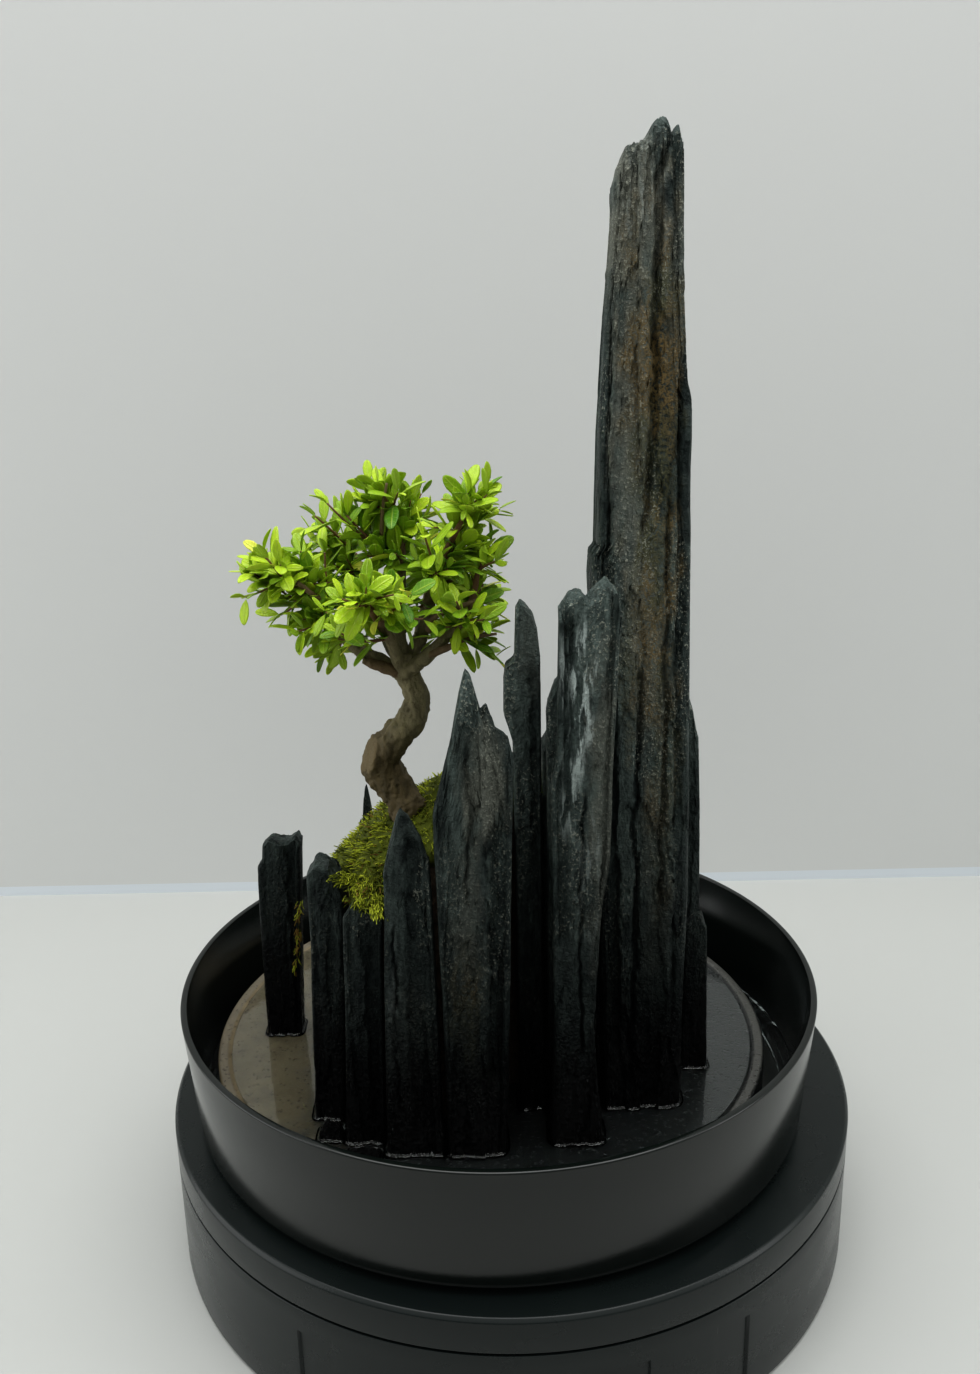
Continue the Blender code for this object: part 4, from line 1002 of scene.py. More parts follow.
# Clefts and ledges: the stone, its line up the face as (x, z), how wide it is and how deep. A ledge
# sets back all that lies to the left or to the right of its line.
CARVED = {
    "stone_peak": [
        ("cleft", [(53.5, 345), (56, 378), (55.7, 424), (56.5, 468), (61, 484)], 2.2, 3.6),
        ("right", [(53.5, 350), (56, 378), (55.7, 424), (56.5, 468), (60, 478)], 1.6, 1.6),
        ("left", [
            (47, 130), (45, 200), (44, 260), (42, 310), (41, 350), (40, 385), (40.5, 440), (42, 462),
        ], 1.4, 3.2),
        ("cleft", [(61, 190), (62.8, 260), (62, 320), (62.5, 356)], 1.5, 2.0),
        ("cleft", [(50, 110), (52, 170), (51, 235), (53, 290)], 1.7, 2.4),
        ("right", [(66, 120), (66.5, 220), (65, 300), (66, 372)], 1.2, 1.8),
        ("cleft", [(67.9, 376), (68.2, 404)], 2.8, 4.0),
    ],
    "stone_shield": [
        ("left", [(23, 190), (24, 250), (25, 318)], 1.2, 2.4),
        ("right", [(32, 120), (34.5, 200), (35, 260), (37, 322)], 1.2, 1.9),
        ("cleft", [(28, 140), (27, 200), (29, 250)], 1.1, 1.4),
    ],
    "stone_fang": [
        ("right", [(-11, 132), (-10, 179), (-8.5, 215), (-7, 266), (-13, 292)], 1.6, 2.6),
        ("left", [(-24, 235), (-21, 262), (-19, 285)], 1.5, 2.2),
        ("cleft", [(-17, 210), (-14, 245), (-15, 270)], 1.2, 1.5),
    ],
    "stone_blade": [
        ("right", [(-41, 110), (-41.5, 170), (-40, 235)], 1.2, 2.0),
        ("cleft", [(-46, 120), (-45, 200)], 0.9, 1.0),
    ],
    "stone_spire": [("right", [(10, 150), (9, 230), (8.5, 292)], 1.0, 1.6)],
    "stone_low": [("right", [(-58, 110), (-59, 195)], 1.0, 1.4)],
    "stone_step": [("left", [(-78, 110), (-77, 205)], 1.0, 1.6)],
    "stone_left": [("right", [(-103, 105), (-102, 195)], 1.0, 1.5)],
}


def carved(name, x, z, seed):
    """How deep the clefts and ledges go, and the painted shade that darkens each cleft and, more faintly,
    what a ledge sets back.
    """
    wander = 2.6 * (rough(spots(0.0, 0.0, z / 8.0), 3, seed) - 0.5)
    wander += 1.2 * (rough(spots(x / 2, 0.0, z / 2.5), 2, seed + 1) - 0.5)
    depth, shade = 0.0 * x, 0.0 * x
    for kind, line, wide, deep in CARVED.get(name, ()):
        line = np.array(line, float)
        off = x - np.interp(z, line[:, 1], line[:, 0]) - wander
        low, high = line[0, 1], line[-1, 1]
        fade = ease(z, low - 5, low + 4) * (1 - ease(z, high - 4, high + 5))
        if kind == "cleft":
            inside = fade * (1 - ease(np.abs(off), 0.15 * wide, wide))
            shade = np.maximum(shade, inside)
        else:
            inside = fade * ease(off if kind == "right" else -off, 0.0, wide)
            shade = np.maximum(shade, 0.45 * inside)
        depth = depth + deep * inside
    return depth, shade


def stained(name, kind, x, z, seed):
    """The sum of soft ellipses, ragged by noise, from 0 to 1."""
    ragged = rough(spots(x / 4, 0.0, z / 11), 3, seed)
    total = 0.0 * x
    for what, middle, half, strength in STAINS.get(name, ()):
        if what == kind:
            far = np.hypot((x - middle[0]) / half[0], (z - middle[1]) / half[1])
            total = total + strength * (1 - ease(far + 1.1 * (ragged - 0.5), 0.35, 1.1))
    return np.clip(total, 0, 1)


CROWN_RINGS = 9
SECTION_POWER = 0.28
# A stone thinner than this has its splinters scaled down, in millimetres.
STOUT = 26.0
FLAT_TOPPED = ("stone_left", "stone_step", "stone_low")


def follow(table, at):
    """Values read from (position, value) pairs, straight between them."""
    table = np.array(table, float)
    return np.interp(at, table[:, 0], table[:, 1])


def make_stone(name, seed, pitch):
    """An upright stone: superelliptic sections between four bounding walls, splintered inwards.

    A column climbs from the foot to the height of the crest over it, less a splinter's own drop.
    Rings of the crown then close front on back until both share the ridge.
    """
    stone = STONES[name]
    width = stone["right"][0][1] - stone["left"][0][1]
    depth = stone["foot"][1] - stone["foot"][0]
    top_rise = max(rise for _, rise in stone["skyline"])
    half = int((width + depth) / pitch)
    u, b = superellipse(half, width, depth, SECTION_POWER)
    count = 2 * half
    rows = max(12, int(top_rise / (2.0 * pitch)))
    size = min(1.0, min(width, depth) / STOUT)
    blunt = 0.35 if name in FLAT_TOPPED else 1.0
    crest = follow(stone["skyline"], u)

    def height(b):
        x, y = width * u, b * depth / 2
        pick, way, _ = shards(spots(x / 5.2 + 0.1 * y, y / 3.6, 0.0), seed + 20)
        fine, _, _ = shards(spots(x / 1.7, y / 1.5, 0.0), seed + 24)
        away = ease(np.abs(b + 0.25 * np.sin(x / 6.0)), 0.3, 0.85)
        drop = away * (0.11 * width + size * (7.0 * pick**1.6 + 2.0 * way[:, 0])) + size * 1.2 * fine
        return np.maximum(crest - blunt * np.maximum(drop, 0), 1.0)

    def placed(b, rise):
        left, right = follow(stone["left"], rise), follow(stone["right"], rise)
        climb = rise / top_rise
        front, back = (low + (high - low) * climb for low, high in zip(stone["foot"], stone["crown"]))
        y = (front + back) / 2 + (back - front) / 2 * b
        return spots(PLAN[0] + left + (right - left) * u, PLAN[1] + y, FOOT_Z + rise)

    closing = np.linspace(0, 1, CROWN_RINGS + 1)[1:]
    wall = placed(b[None], np.linspace(0, 1, rows)[:, None] * height(b))
    crown = np.stack([placed(b * (1 - s), height(b * (1 - s))) for s in closing])
    points = np.concatenate([wall, crown])
    tangent = np.roll(points[..., :2], -1, 1) - np.roll(points[..., :2], 1, 1)
    tangent[rows:] = tangent[rows - 1]
    tangent = unit(tangent)
    dig, tone, broken = splinter_depth(points.reshape(-1, 3), seed, size)
    dig, tone, broken = (value.reshape(points.shape[:2]) for value in (dig, tone, broken))
    cut, shade = carved(name, points[..., 0], points[..., 2], seed + 40)
    dig = np.minimum(0.75 * dig + cut, 0.3 * depth)
    # Painted shade: the tone darkens in the clefts and on the faces the ledges set back.
    tone = tone * (1 - 0.75 * shade)
    dig = dig * (0.16 + 0.84 * np.abs(tangent[..., 0]))
    fade = np.concatenate([np.ones(rows), 1 - closing])[:, None]
    moved = points[..., :2] + dig[..., None] * np.stack([-tangent[..., 1], tangent[..., 0]], -1)
    first, last = moved[rows - 1, half, 0], moved[rows - 1, 0, 0]
    points[..., 0] = fade * moved[..., 0] + (1 - fade) * (first + (last - first) * u)
    points[..., 1] = fade * moved[..., 1] + (1 - fade) * points[..., 1]
    # The crown's end columns are one point each, and its last ring's front and back are one line.
    index = np.arange(len(points) * count).reshape(-1, count)
    index[rows:, 0], index[rows:, half] = index[rows - 1, 0], index[rows - 1, half]
    index[-1, half + 1 :] = index[-1, half - 1 : 0 : -1]
    faces = index.ravel()[grid_faces(len(points), count)]
    flat = points.reshape(-1, 3)
    j = np.arange(count)
    fan = np.stack([0 * j + len(flat), (j + 1) % count, j, j], -1)
    flat = np.concatenate([flat, [flat[:count].mean(0)]])
    marks = {"tone": np.append(np.clip(tone, 0, 1), 0), "broken": np.append(broken, 0)}
    for kind in ("rust", "gritty", "chalk"):
        marks[kind] = stained(name, kind, flat[:, 0], flat[:, 2], seed + 30)
    surface = Surface()
    surface.add(flat, np.concatenate([faces, fan]), **marks)
    finish_piece(name.replace("stone_", "slate_"), surface, SLATE, [name], 28)
    return points[0, :, :2]


# The fillet's section, up its outer side and down inside: how far out of the foot, and above the film.
FILLET = [(1.5, -0.25), (0.8, 0.1), (0.3, 0.55), (-0.1, 1.1), (-0.5, -0.25)]
STONE_PITCH = {"stone_peak": 0.62, "stone_shield": 0.55, "stone_fang": 0.55, "stone_blade": 0.55}


def make_stones():
    """Every stone, and the water drawn up round its foot: a thin fillet along the foot's outline."""
    surface = Surface()
    for number, name in enumerate(STONES):
        foot = make_stone(name, 100 * number + 7, STONE_PITCH.get(name, 0.7))
        foot = (np.roll(foot, 1, 0) + foot + np.roll(foot, -1, 0)) / 3
        way = unit(np.roll(foot, -1, 0) - np.roll(foot, 1, 0))
        out = np.stack([way[:, 1], -way[:, 0]], -1)
        rings = ((foot + out * off, FILM_Z[1] + rise) for off, rise in FILLET)
        rows = [spots(ring[:, 0], ring[:, 1], z) for ring, z in rings]
        surface.add(np.concatenate(rows), grid_faces(len(FILLET), len(foot), True))
    finish_piece("menisci", surface, FILM)


# =============================== planting ===============================
# The pocket between the stones, as plan points from the basin's middle.
POCKET = [
    (-60, -81), (-40, -81), (-22, -81), (2, -81), (2, -57), (18, -56), (18, -22), (-13, -22),
    (-14, -18), (-44, -18), (-69, -17), (-69, -57), (-60, -58), (-60, -81),
]
HEART = np.array([-24.0, -50.0])
# The moss's greatest height over the stones' feet, by x.
MOSS_CREST = [(-70, 109), (-62, 114), (-49, 128), (-38, 133), (-24, 141), (18, 142)]
MOSS_THICKNESS = 7.0
FROND_COUNT = 2900
CLEAR_OF_TRUNK = 6.5
SOIL_GAP = 1.0


def moss_height(x, y):
    """The crest by x, which falls to the front and to the back, with soft lumps."""
    fall = 0.36 * np.maximum(0, -51 - y) + 0.25 * np.maximum(0, y + 40)
    lumps = 5.0 * (rough(spots(x / 7, y / 7, 0.0), 3, 51) - 0.5)
    return FOOT_Z + follow(MOSS_CREST, x) - fall - 2.4 + lumps


def pocket_outline(count, overhang):
    """Points spaced evenly round the pocket's outline, moved out from its heart."""
    closed = np.array(POCKET, float)
    length = np.concatenate([[0], np.cumsum(np.linalg.norm(np.diff(closed, axis=0), axis=1))])
    at = np.arange(count) * length[-1] / count
    ring = np.stack([np.interp(at, length, closed[:, k]) for k in (0, 1)], -1)
    return ring + unit(ring - HEART) * overhang


def rim_fall(near):
    """How far the moss rounds down, by its distance from the pocket's outline."""
    return 2.5 * (1 - ease(near, 0, 5.0))


def make_mound():
    """Moss over the pocket: rings that shrink to its heart, at the moss's height, rounded at the rim."""
    outline = pocket_outline(220, 0.0)
    shares = np.concatenate([[0.9, 0.985, 1.0], np.linspace(1, 0.02, 44)[1:]])
    drops = np.concatenate([[9.0, 7.0, 3.2], np.zeros(43)])
    ring = HEART + (outline - HEART)[None] * shares[:, None, None]
    z = moss_height(ring[..., 0], ring[..., 1])
    near = (1 - shares[:, None]) * np.linalg.norm(outline - HEART, axis=1)
    z = z - drops[:, None] - rim_fall(near)
    z += 1.1 * (rough(spots(ring[..., 0], ring[..., 1], z) / 1.8, 3, 52) - 0.5)
    rings = raised(ring, z)
    heart = np.append(HEART + PLAN, moss_height(*HEART[:, None])[0])
    surface = Surface()
    ends = [np.array([[heart[0], heart[1], z[0].mean()]]), heart[None]]
    tone = 0.25 * rough(rings.reshape(-1, 3) / 4, 2, 53).reshape(rings.shape[:2])[None]
    surface.add_rings(rings[None], *ends, tone=tone, tip=0.0, withered=0.0)
    finish_piece("moss_mound", surface, MOSS, ["moss_cushion"])


def make_soil():
    """The soil under the moss: the pocket's outline lofted up, with crumbs."""
    outline = pocket_outline(200, -0.8)
    top = moss_height(outline[:, 0], outline[:, 1]) - MOSS_THICKNESS - SOIL_GAP
    share = np.linspace(0, 1, 70)[:, None]
    z = FOOT_Z + share * (top - FOOT_Z)
    ring = np.repeat(outline[None], 70, 0)
    crumbs = 2.2 * (rough(spots(ring[..., 0], ring[..., 1], z) / 3.0, 4, 61) - 0.45)
    ring = ring + unit(ring - HEART) * np.minimum(crumbs, 0.4)[..., None]
    lids = [np.append(HEART + PLAN, level)[None] for level in (FOOT_Z, top.mean())]
    surface = Surface()
    surface.add_rings(raised(ring, z)[None], *lids)
    finish_piece("soil_block", surface, SOIL, ["soil"])


def fronds(surface, roots, growth, outward, length, seed, healthy):
    """Feathery shoots: bent lines whose flat rings swing wide and narrow like leaflets.

    Line point = root + length * (growth * t + 0.6 * outward * t squared). healthy is the share of
    them that is not withered.
    """
    n = len(roots)
    t = np.linspace(0, 1, 9)[1:-1]
    draw = np.random.default_rng(seed)
    line = roots[:, None] + (growth * length[:, None])[:, None] * t[None, :, None]
    line = line + (outward * length[:, None] * 0.6)[:, None] * (t**2)[None, :, None]
    side, up = carried_frames(line)
    spin = draw.uniform(0, TURN, n)[:, None, None]
    across = side * np.cos(spin) + up * np.sin(spin)
    flat = -side * np.sin(spin) + up * np.cos(spin)
    saw = np.where(np.arange(len(t)) % 2 == 0, 1.0, 0.42)
    wide = (0.105 * length[:, None] * saw * (1.15 - t) + 0.12)[..., None]
    wide, thin = across * wide, flat * 0.16
    rings = np.stack([line + wide, line + thin, line - wide, line - thin], 2)
    end = roots + growth * length[:, None] + outward * length[:, None] * 0.6
    # Painted shade and light: fronds between clumps are darker, and their tips are pale mostly on the clumps.
    clump_light = ease(rough(roots / [4.0, 4.0, 3.0], 2, seed + 5), 0.36, 0.62)
    tone = draw.uniform(0.2, 1, n) * (0.1 + 0.9 * clump_light)
    withered = (draw.uniform(0, 1, n) > healthy) * 0.8
    tip = ease(t, 0.3, 1.0)[None] * (0.15 + 0.75 * clump_light * draw.uniform(0.4, 1, n))[:, None]
    surface.add_rings(rings, roots, end, tone=tone, tip=tip, withered=withered)


def make_moss_fronds():
    """Fronds all over the mound but at the trunk's foot, leaning out more towards its rim."""
    draw = np.random.default_rng(71)
    surface = Surface()
    outline = pocket_outline(600, 0.0)
    ray = outline[draw.integers(0, 600, FROND_COUNT)] - HEART
    share = np.sqrt(draw.uniform(0.0, 1.0, FROND_COUNT))[:, None]
    spot = HEART + ray * share
    keep = np.linalg.norm(spot - (TREE_FOOT[:2] - PLAN), axis=1) > CLEAR_OF_TRUNK
    spot, ray, share = spot[keep], ray[keep], share[keep]
    near = (1 - share[:, 0]) * np.linalg.norm(ray, axis=1)
    roots = raised(spot, moss_height(spot[:, 0], spot[:, 1]) - rim_fall(near) - 0.8)
    lie = np.concatenate([unit(ray), np.zeros((len(ray), 1))], 1) * (0.25 + 0.5 * share)
    growth = unit(lie + [0, 0, 0.62] + draw.normal(0, 0.42, roots.shape))
    outward = lie * 0.5 + [0, 0, -0.45]
    length = draw.uniform(2.2, 4.6, len(roots))
    fronds(surface, roots, growth, outward, length, 72, 0.965)
    finish_piece("moss_fronds", surface, MOSS)


def along_line(stations, count, draw, spread):
    """Roots scattered round a smooth line, and the line's own direction at each."""
    line = curve_through(stations, 200)
    at = draw.uniform(0, 199, count)
    spot = np.stack([np.interp(at, np.arange(200), line[:, k]) for k in range(3)], -1)
    way = unit(np.gradient(line, axis=0))[at.astype(int)]
    return spot + draw.normal(0, 1, (count, 3)) * spread, way


# Moss that trails over the low stones: middle lines, how many fronds, and the scatter round each.
TRAILS = [
    ([(-59, -90, 208), (-57, -96, 207), (-56, -101, 205)], 240, (2.4, 1.2, 1.2)),
    ([(-55, -88, 211), (-53, -95, 209), (-53, -101, 207)], 330, (2.4, 1.2, 1.6)),
    ([(-61, -86, 209), (-65, -87, 209), (-68, -88, 211)], 140, (1.8, 1.2, 1.2)),
    ([(-52, -101, 208), (-51, -105, 207), (-51, -108, 205)], 110, (1.4, 0.6, 1.0)),
]
# The thin strand on the left stone.
STRAND = [(-96, -27.3, 172), (-97.5, -27.6, 160), (-98.5, -27.6, 147), (-101, -27.6, 134)]


def make_moss_trails():
    """Fronds that hang over the low stones, and a mostly withered strand of them on the left one."""
    draw = np.random.default_rng(81)
    surface = Surface()
    for stations, count, spread in TRAILS:
        roots, way = along_line(stations, count, draw, spread)
        growth = unit(way * 0.7 + [0, -0.35, 0.25] + draw.normal(0, 0.45, roots.shape))
        hang = np.tile([0, -0.1, -0.5], (count, 1))
        fronds(surface, roots, growth, hang, draw.uniform(2.0, 4.2, count), 82, 0.95)
    finish_piece("moss_over_edge", surface, MOSS, ["moss_drape"])
    surface = Surface()
    count = 90
    roots, way = along_line(STRAND, count, draw, (0.6, 0.15, 1.0))
    growth = unit(way * 0.9 + [0, -0.1, 0] + draw.normal(0, 0.35, roots.shape) * [1, 0.3, 1])
    hang = np.tile([0, 0, -0.4], (count, 1))
    fronds(surface, roots, growth, hang, draw.uniform(1.5, 3.2, count), 83, 0.45)
    finish_piece("moss_thread", surface, MOSS, ["moss_strand"])


# =============================== tree ===============================
# Centre lines from the tree's foot: (x, y, z, radius).
TRUNK = [
    (2.5, 0, -6, 9.6), (1, 0, 0, 8.2), (-1, 0.5, 7, 7.4), (-6, 1, 15, 7.4), (-10, 1, 22, 8.2),
    (-9.5, 0, 27.5, 8.0), (-4, -1, 33, 6.6), (0, -2, 38, 6.2), (4, -1, 44, 6.0), (6, 0, 50, 5.5),
    (4.5, 1, 56, 4.9), (2, 1, 61, 4.8), (1, 0, 66, 5.2), (1, 0, 70, 4.0),
]
LIMBS = {
    "left": [
        (1, 0, 61, 3.4), (-8, -1, 67, 3.1), (-14, -3, 71, 2.8), (-20, -5, 77, 2.5), (-26, -7, 85, 2.2),
        (-31, -9, 92, 1.9), (-38, -11, 99, 1.5), (-43, -12, 103, 1.1),
    ],
    "back_left": [
        (1, 1, 63, 2.6), (-4, 5, 72, 2.6), (-8, 9, 80, 2.3), (-12, 14, 90, 1.9), (-15, 19, 99, 1.5),
        (-19, 23, 107, 1.1),
    ],
    "middle": [
        (1, 0, 65, 3.6), (0, 0.5, 74, 3.1), (0, 1, 82, 2.7), (1, 2, 94, 2.2), (2, 3, 106, 1.8),
        (1, 4, 117, 1.4), (-1, 4, 126, 1.0),
    ],
    "upper_right": [
        (1, 1, 63, 2.8), (7, 2, 73, 2.7), (10, 2, 80, 2.5), (12, 1, 89, 2.1), (15, -1, 99, 1.8),
        (19, -4, 109, 1.4), (24, -7, 119, 1.1), (28, -8, 126, 0.9),
    ],
    "right": [
        (0, -1, 61, 3.2), (8, -3, 67, 2.9), (13, -4, 71, 2.7), (19, -4, 77, 2.4), (26, -4, 83, 2.0),
        (29, -4, 90, 1.7), (31, -4, 97, 1.3), (32, -4, 103, 1.0),
    ],
    "front": [
        (1, -1, 62, 2.6), (-1, -6, 70, 2.4), (-3, -12, 79, 2.1), (-6, -19, 87, 1.7), (-8, -27, 93, 1.3),
        (-9, -34, 97, 1.0),
    ],
    "back": [
        (1, 1, 61, 2.6), (5, 7, 69, 2.4), (8, 13, 78, 2.1), (10, 20, 87, 1.7), (12, 28, 94, 1.3),
        (13, 35, 99, 1.0),
    ],
}
# Each shoot: its limb, the limb's point that it leaves, where it ends, and its pairs of leaves.
SHOOTS = [
    ("left", 7, (-52, -13, 106), 5),
    ("left", 6, (-46, -24, 113), 6),
    ("left", 5, (-47, -2, 95), 6),
    ("left", 4, (-37, -19, 84), 6),
    ("left", 3, (-32, 0, 75), 5),
    ("left", 5, (-35, -14, 114), 7),
    ("left", 4, (-27, -6, 112), 6),
    ("back_left", 5, (-33, 14, 124), 6),
    ("middle", 4, (-25, -6, 131), 6),
    ("back_left", 5, (-29, 31, 118), 6),
    ("back_left", 4, (-36, 17, 108), 6),
    ("back_left", 3, (-30, 27, 92), 6),
    ("middle", 6, (-5, 4, 135), 4),
    ("middle", 4, (-18, -4, 126), 7),
    ("middle", 5, (10, 14, 132), 6),
    ("upper_right", 7, (29, -10, 134), 4),
    ("upper_right", 5, (31, -3, 121), 7),
    ("upper_right", 4, (13, -24, 120), 7),
    ("upper_right", 6, (31, 6, 131), 5),
    ("right", 7, (34, -4, 110), 4),
    ("right", 3, (35, -9, 80), 6),
    ("right", 5, (34, 6, 96), 5),
    ("right", 4, (24, -23, 95), 6),
    ("front", 5, (-16, -45, 101), 5),
    ("front", 3, (7, -36, 100), 6),
    ("front", 2, (-20, -28, 85), 5),
    ("back", 5, (16, 46, 105), 5),
    ("back", 4, (-6, 42, 110), 6),
    ("back", 3, (30, 29, 106), 6),
]
# Snapped and pruned ends: centre lines in the same way, and how raw each end is.
STUBS = [
    ([(0, -1, 62, 2.6), (-6, -4, 65, 2.4), (-11, -6, 67.5, 2.2), (-14, -7, 69, 1.5)], 1.0),
    ([(8, -3, 68, 1.8), (20, -9, 74, 1.3), (30, -12, 78.5, 0.9), (39, -13, 80, 0.6)], 0.0),
    ([(12, -4, 80, 1.6), (15, -7, 86, 1.3), (24, -9, 90, 1.2), (33, -10, 93, 1.0)], 0.4),
    ([(-5, -3, 118, 0.8), (-4, -4, 128, 0.7), (-2, -4, 138, 0.5)], 0.6),
    ([(-24, -9, 92, 1.2), (-30, -16, 97, 1.0), (-36, -20, 103, 0.8)], 0.3),
]
# The knee's outer corner was sawn off: a point on the flat, and the way out of it.
SAWN_AT = np.array([-14.6, -3.0, 25.5])
SAWN_WAY = unit(np.array([-0.86, -0.42, 0.28]))


def tube(stations, along, count):
    """A smooth line, its radius, and the spokes round it."""
    curve = curve_through(stations, along)
    line, radius = curve[:, :3], curve[:, 3]
    return line, radius, spokes(*carried_frames(line), count)


def barked(line, radius, out, seed, relief):
    """Rings with bark: ridges along the wood, pits and swollen knots, all pushed along the radius."""
    place = line[:, None] + out * radius[:, None, None]
    ridges = rough(place / [2.2, 2.2, 7.0], 3, seed) - 0.5
    knots = ease(rough(place / 6.5, 2, seed + 5), 0.56, 0.8)
    pits = ease(rough(place / 1.5, 2, seed + 9), 0.6, 0.8)
    swell = relief * (0.42 * ridges + 0.22 * knots - 0.1 * pits) * radius[:, None]
    return place + out * swell[..., None]


def make_wood():
    """Trunk, limbs and stubs: point = line + radius * spoke, with bark, each closed at both ends."""
    surface = Surface()

    def add(line, place, **marks):
        surface.add_rings(place[None] + TREE_FOOT, line[:1] + TREE_FOOT, line[-1:] + TREE_FOOT, **marks)

    line, radius, out = tube(TRUNK, 260, 72)
    place = barked(line, radius, out, 91, 1.0)
    over = (place - SAWN_AT) @ SAWN_WAY
    place = place - np.maximum(over, 0)[..., None] * SAWN_WAY * 0.8
    add(line, place, young=ease(line[:, 2], 28, 44)[None], twig=0.0, raw=ease(over, 0.0, 0.5)[None])
    for number, stations in enumerate(LIMBS.values()):
        line, radius, out = tube(stations, 120, 28)
        place = barked(line, radius, out, 120 + 10 * number, 1.3)
        add(line, place, young=1.0, twig=(1 - ease(radius, 1.1, 2.4))[None], raw=0.0)
    for stations, raw in STUBS:
        line, radius, out = tube(stations, 24, 14)
        place = barked(line, radius, out, 200, 1.2)
        share = np.linspace(0, 1, 24)[None]
        add(line, place, young=0.5, twig=0.4, raw=raw * ease(share, 0.75, 1.0))
    finish_piece("trunk_bark", surface, BARK, ["trunk_and_limbs"])


def shoot_line(start, end, bow, count=12):
    """Points from start to end on a straight line, bowed by a half sine along bow."""
    t = np.linspace(0, 1, count)[:, None]
    return start + (end - start) * t + bow * np.sin(math.pi * t)


# One short shoot grows from each point of a limb, and more from these.
INNER_SHOOTS = {"middle": 3}


def all_shoots():
    """Lines, pairs of leaves and sizes: the main shoots, side shoots from each, and short inner ones."""
    draw = np.random.default_rng(301)
    shoots = []
    for limb, index, end, pairs in SHOOTS:
        start = np.array(LIMBS[limb][index][:3], float)
        end = np.array(end, float)
        sag = np.array([0, 0, -0.07 * np.linalg.norm(end - start)])
        line = shoot_line(start, end, sag + draw.normal(0, 0.8, 3))
        shoots.append((line, pairs, 1.0))
        way = unit(end - start)
        for _ in range(2 + pairs // 7):
            root = line[int(draw.uniform(0.1, 0.6) * 11)]
            spread = draw.normal(0, 1, 3)
            spread = unit(spread - way * (spread @ way))
            reach = draw.uniform(9, 15)
            tip = root + unit(way * 0.75 + spread * 0.9 + [0, 0, 0.15]) * reach
            shoots.append((shoot_line(root, tip, np.array([0, 0, -0.6])), 3, 0.72))
    for name, stations in LIMBS.items():
        for index in list(range(3, len(stations))) * INNER_SHOOTS.get(name, 1):
            root = np.array(stations[index][:3], float)
            spread = draw.normal(0, 1, 3) * [1, 1, 0.5]
            tip = root + unit(spread + [0, 0, 0.4]) * draw.uniform(9, 15)
            shoots.append((shoot_line(root, tip, np.array([0, 0, 0.5])), 3, 0.75))
    return shoots


def make_twigs(shoots):
    """Each shoot as a thin tube: point = line + radius * spoke, with the radius falling along it."""
    surface = Surface()
    lines = np.array([line for line, _, _ in shoots])
    sizes = np.array([size for _, _, size in shoots])
    thick = sizes[:, None] * TWIG_RADIUS * np.linspace(1.15, 0.5, lines.shape[1])
    rings = lines[:, :, None] + spokes(*carried_frames(lines), 8) * thick[:, :, None, None] + TREE_FOOT
    ends = lines[:, 0] + TREE_FOOT, lines[:, -1] + TREE_FOOT
    surface.add_rings(rings, *ends, young=1.0, twig=1.0, raw=0.0)
    finish_piece("twigs", surface, BARK)


def leaf_places(shoots):
    """Root, direction, facing and size of every leaf: opposite pairs, each turned a quarter from the last."""
    draw = np.random.default_rng(401)
    roots, ways, faces, sizes = [], [], [], []
    heart = np.array([1.0, 0.0, 72.0])
    for line, pairs, size in shoots:
        side, up = carried_frames(line)
        for pair in range(pairs + 1):
            last = pair == pairs
            i = int(min(11, 1.5 + 9.5 * pair / pairs))
            stem = unit(np.gradient(line, axis=0)[i])
            turn = math.pi / 2 * pair + draw.uniform(-0.3, 0.3)
            for half in (0, 1):
                a = turn + math.pi * half
                out = side[i] * math.cos(a) + up[i] * math.sin(a)
                opening = draw.uniform(0.75, 1.35) * (0.55 if last else 1.0)
                way = out * opening + stem * 0.8 + [0, 0, draw.uniform(0.0, 0.3)]
                way = unit(way + draw.normal(0, 0.2, 3))
                light = unit(line[i] - heart) * 0.55 + [0, -0.1, 1] + draw.normal(0, 0.65, 3)
                roots.append(line[i] + out * 0.4)
                ways.append(way)
                faces.append(light - way * (light @ way))
                sizes.append(draw.uniform(0.6, 1.15) * (0.8 if last else 1.0) * (0.5 + 0.5 * size))
    return np.array(roots), np.array(ways), unit(np.array(faces)), np.array(sizes)


# The leaf's outline: half its width as a share of the greatest, at stations along its midrib.
LEAF_STATIONS = np.array([0.05, 0.2, 0.42, 0.66, 0.85, 0.95])
LEAF_HALF_WIDTHS = np.array([0.08, 0.58, 0.95, 1.0, 0.72, 0.4])
# The point inside the crown near which the leaves are painted darkest, as painted shade.
SHADE_HEART = np.array([0, 0, 95.0])


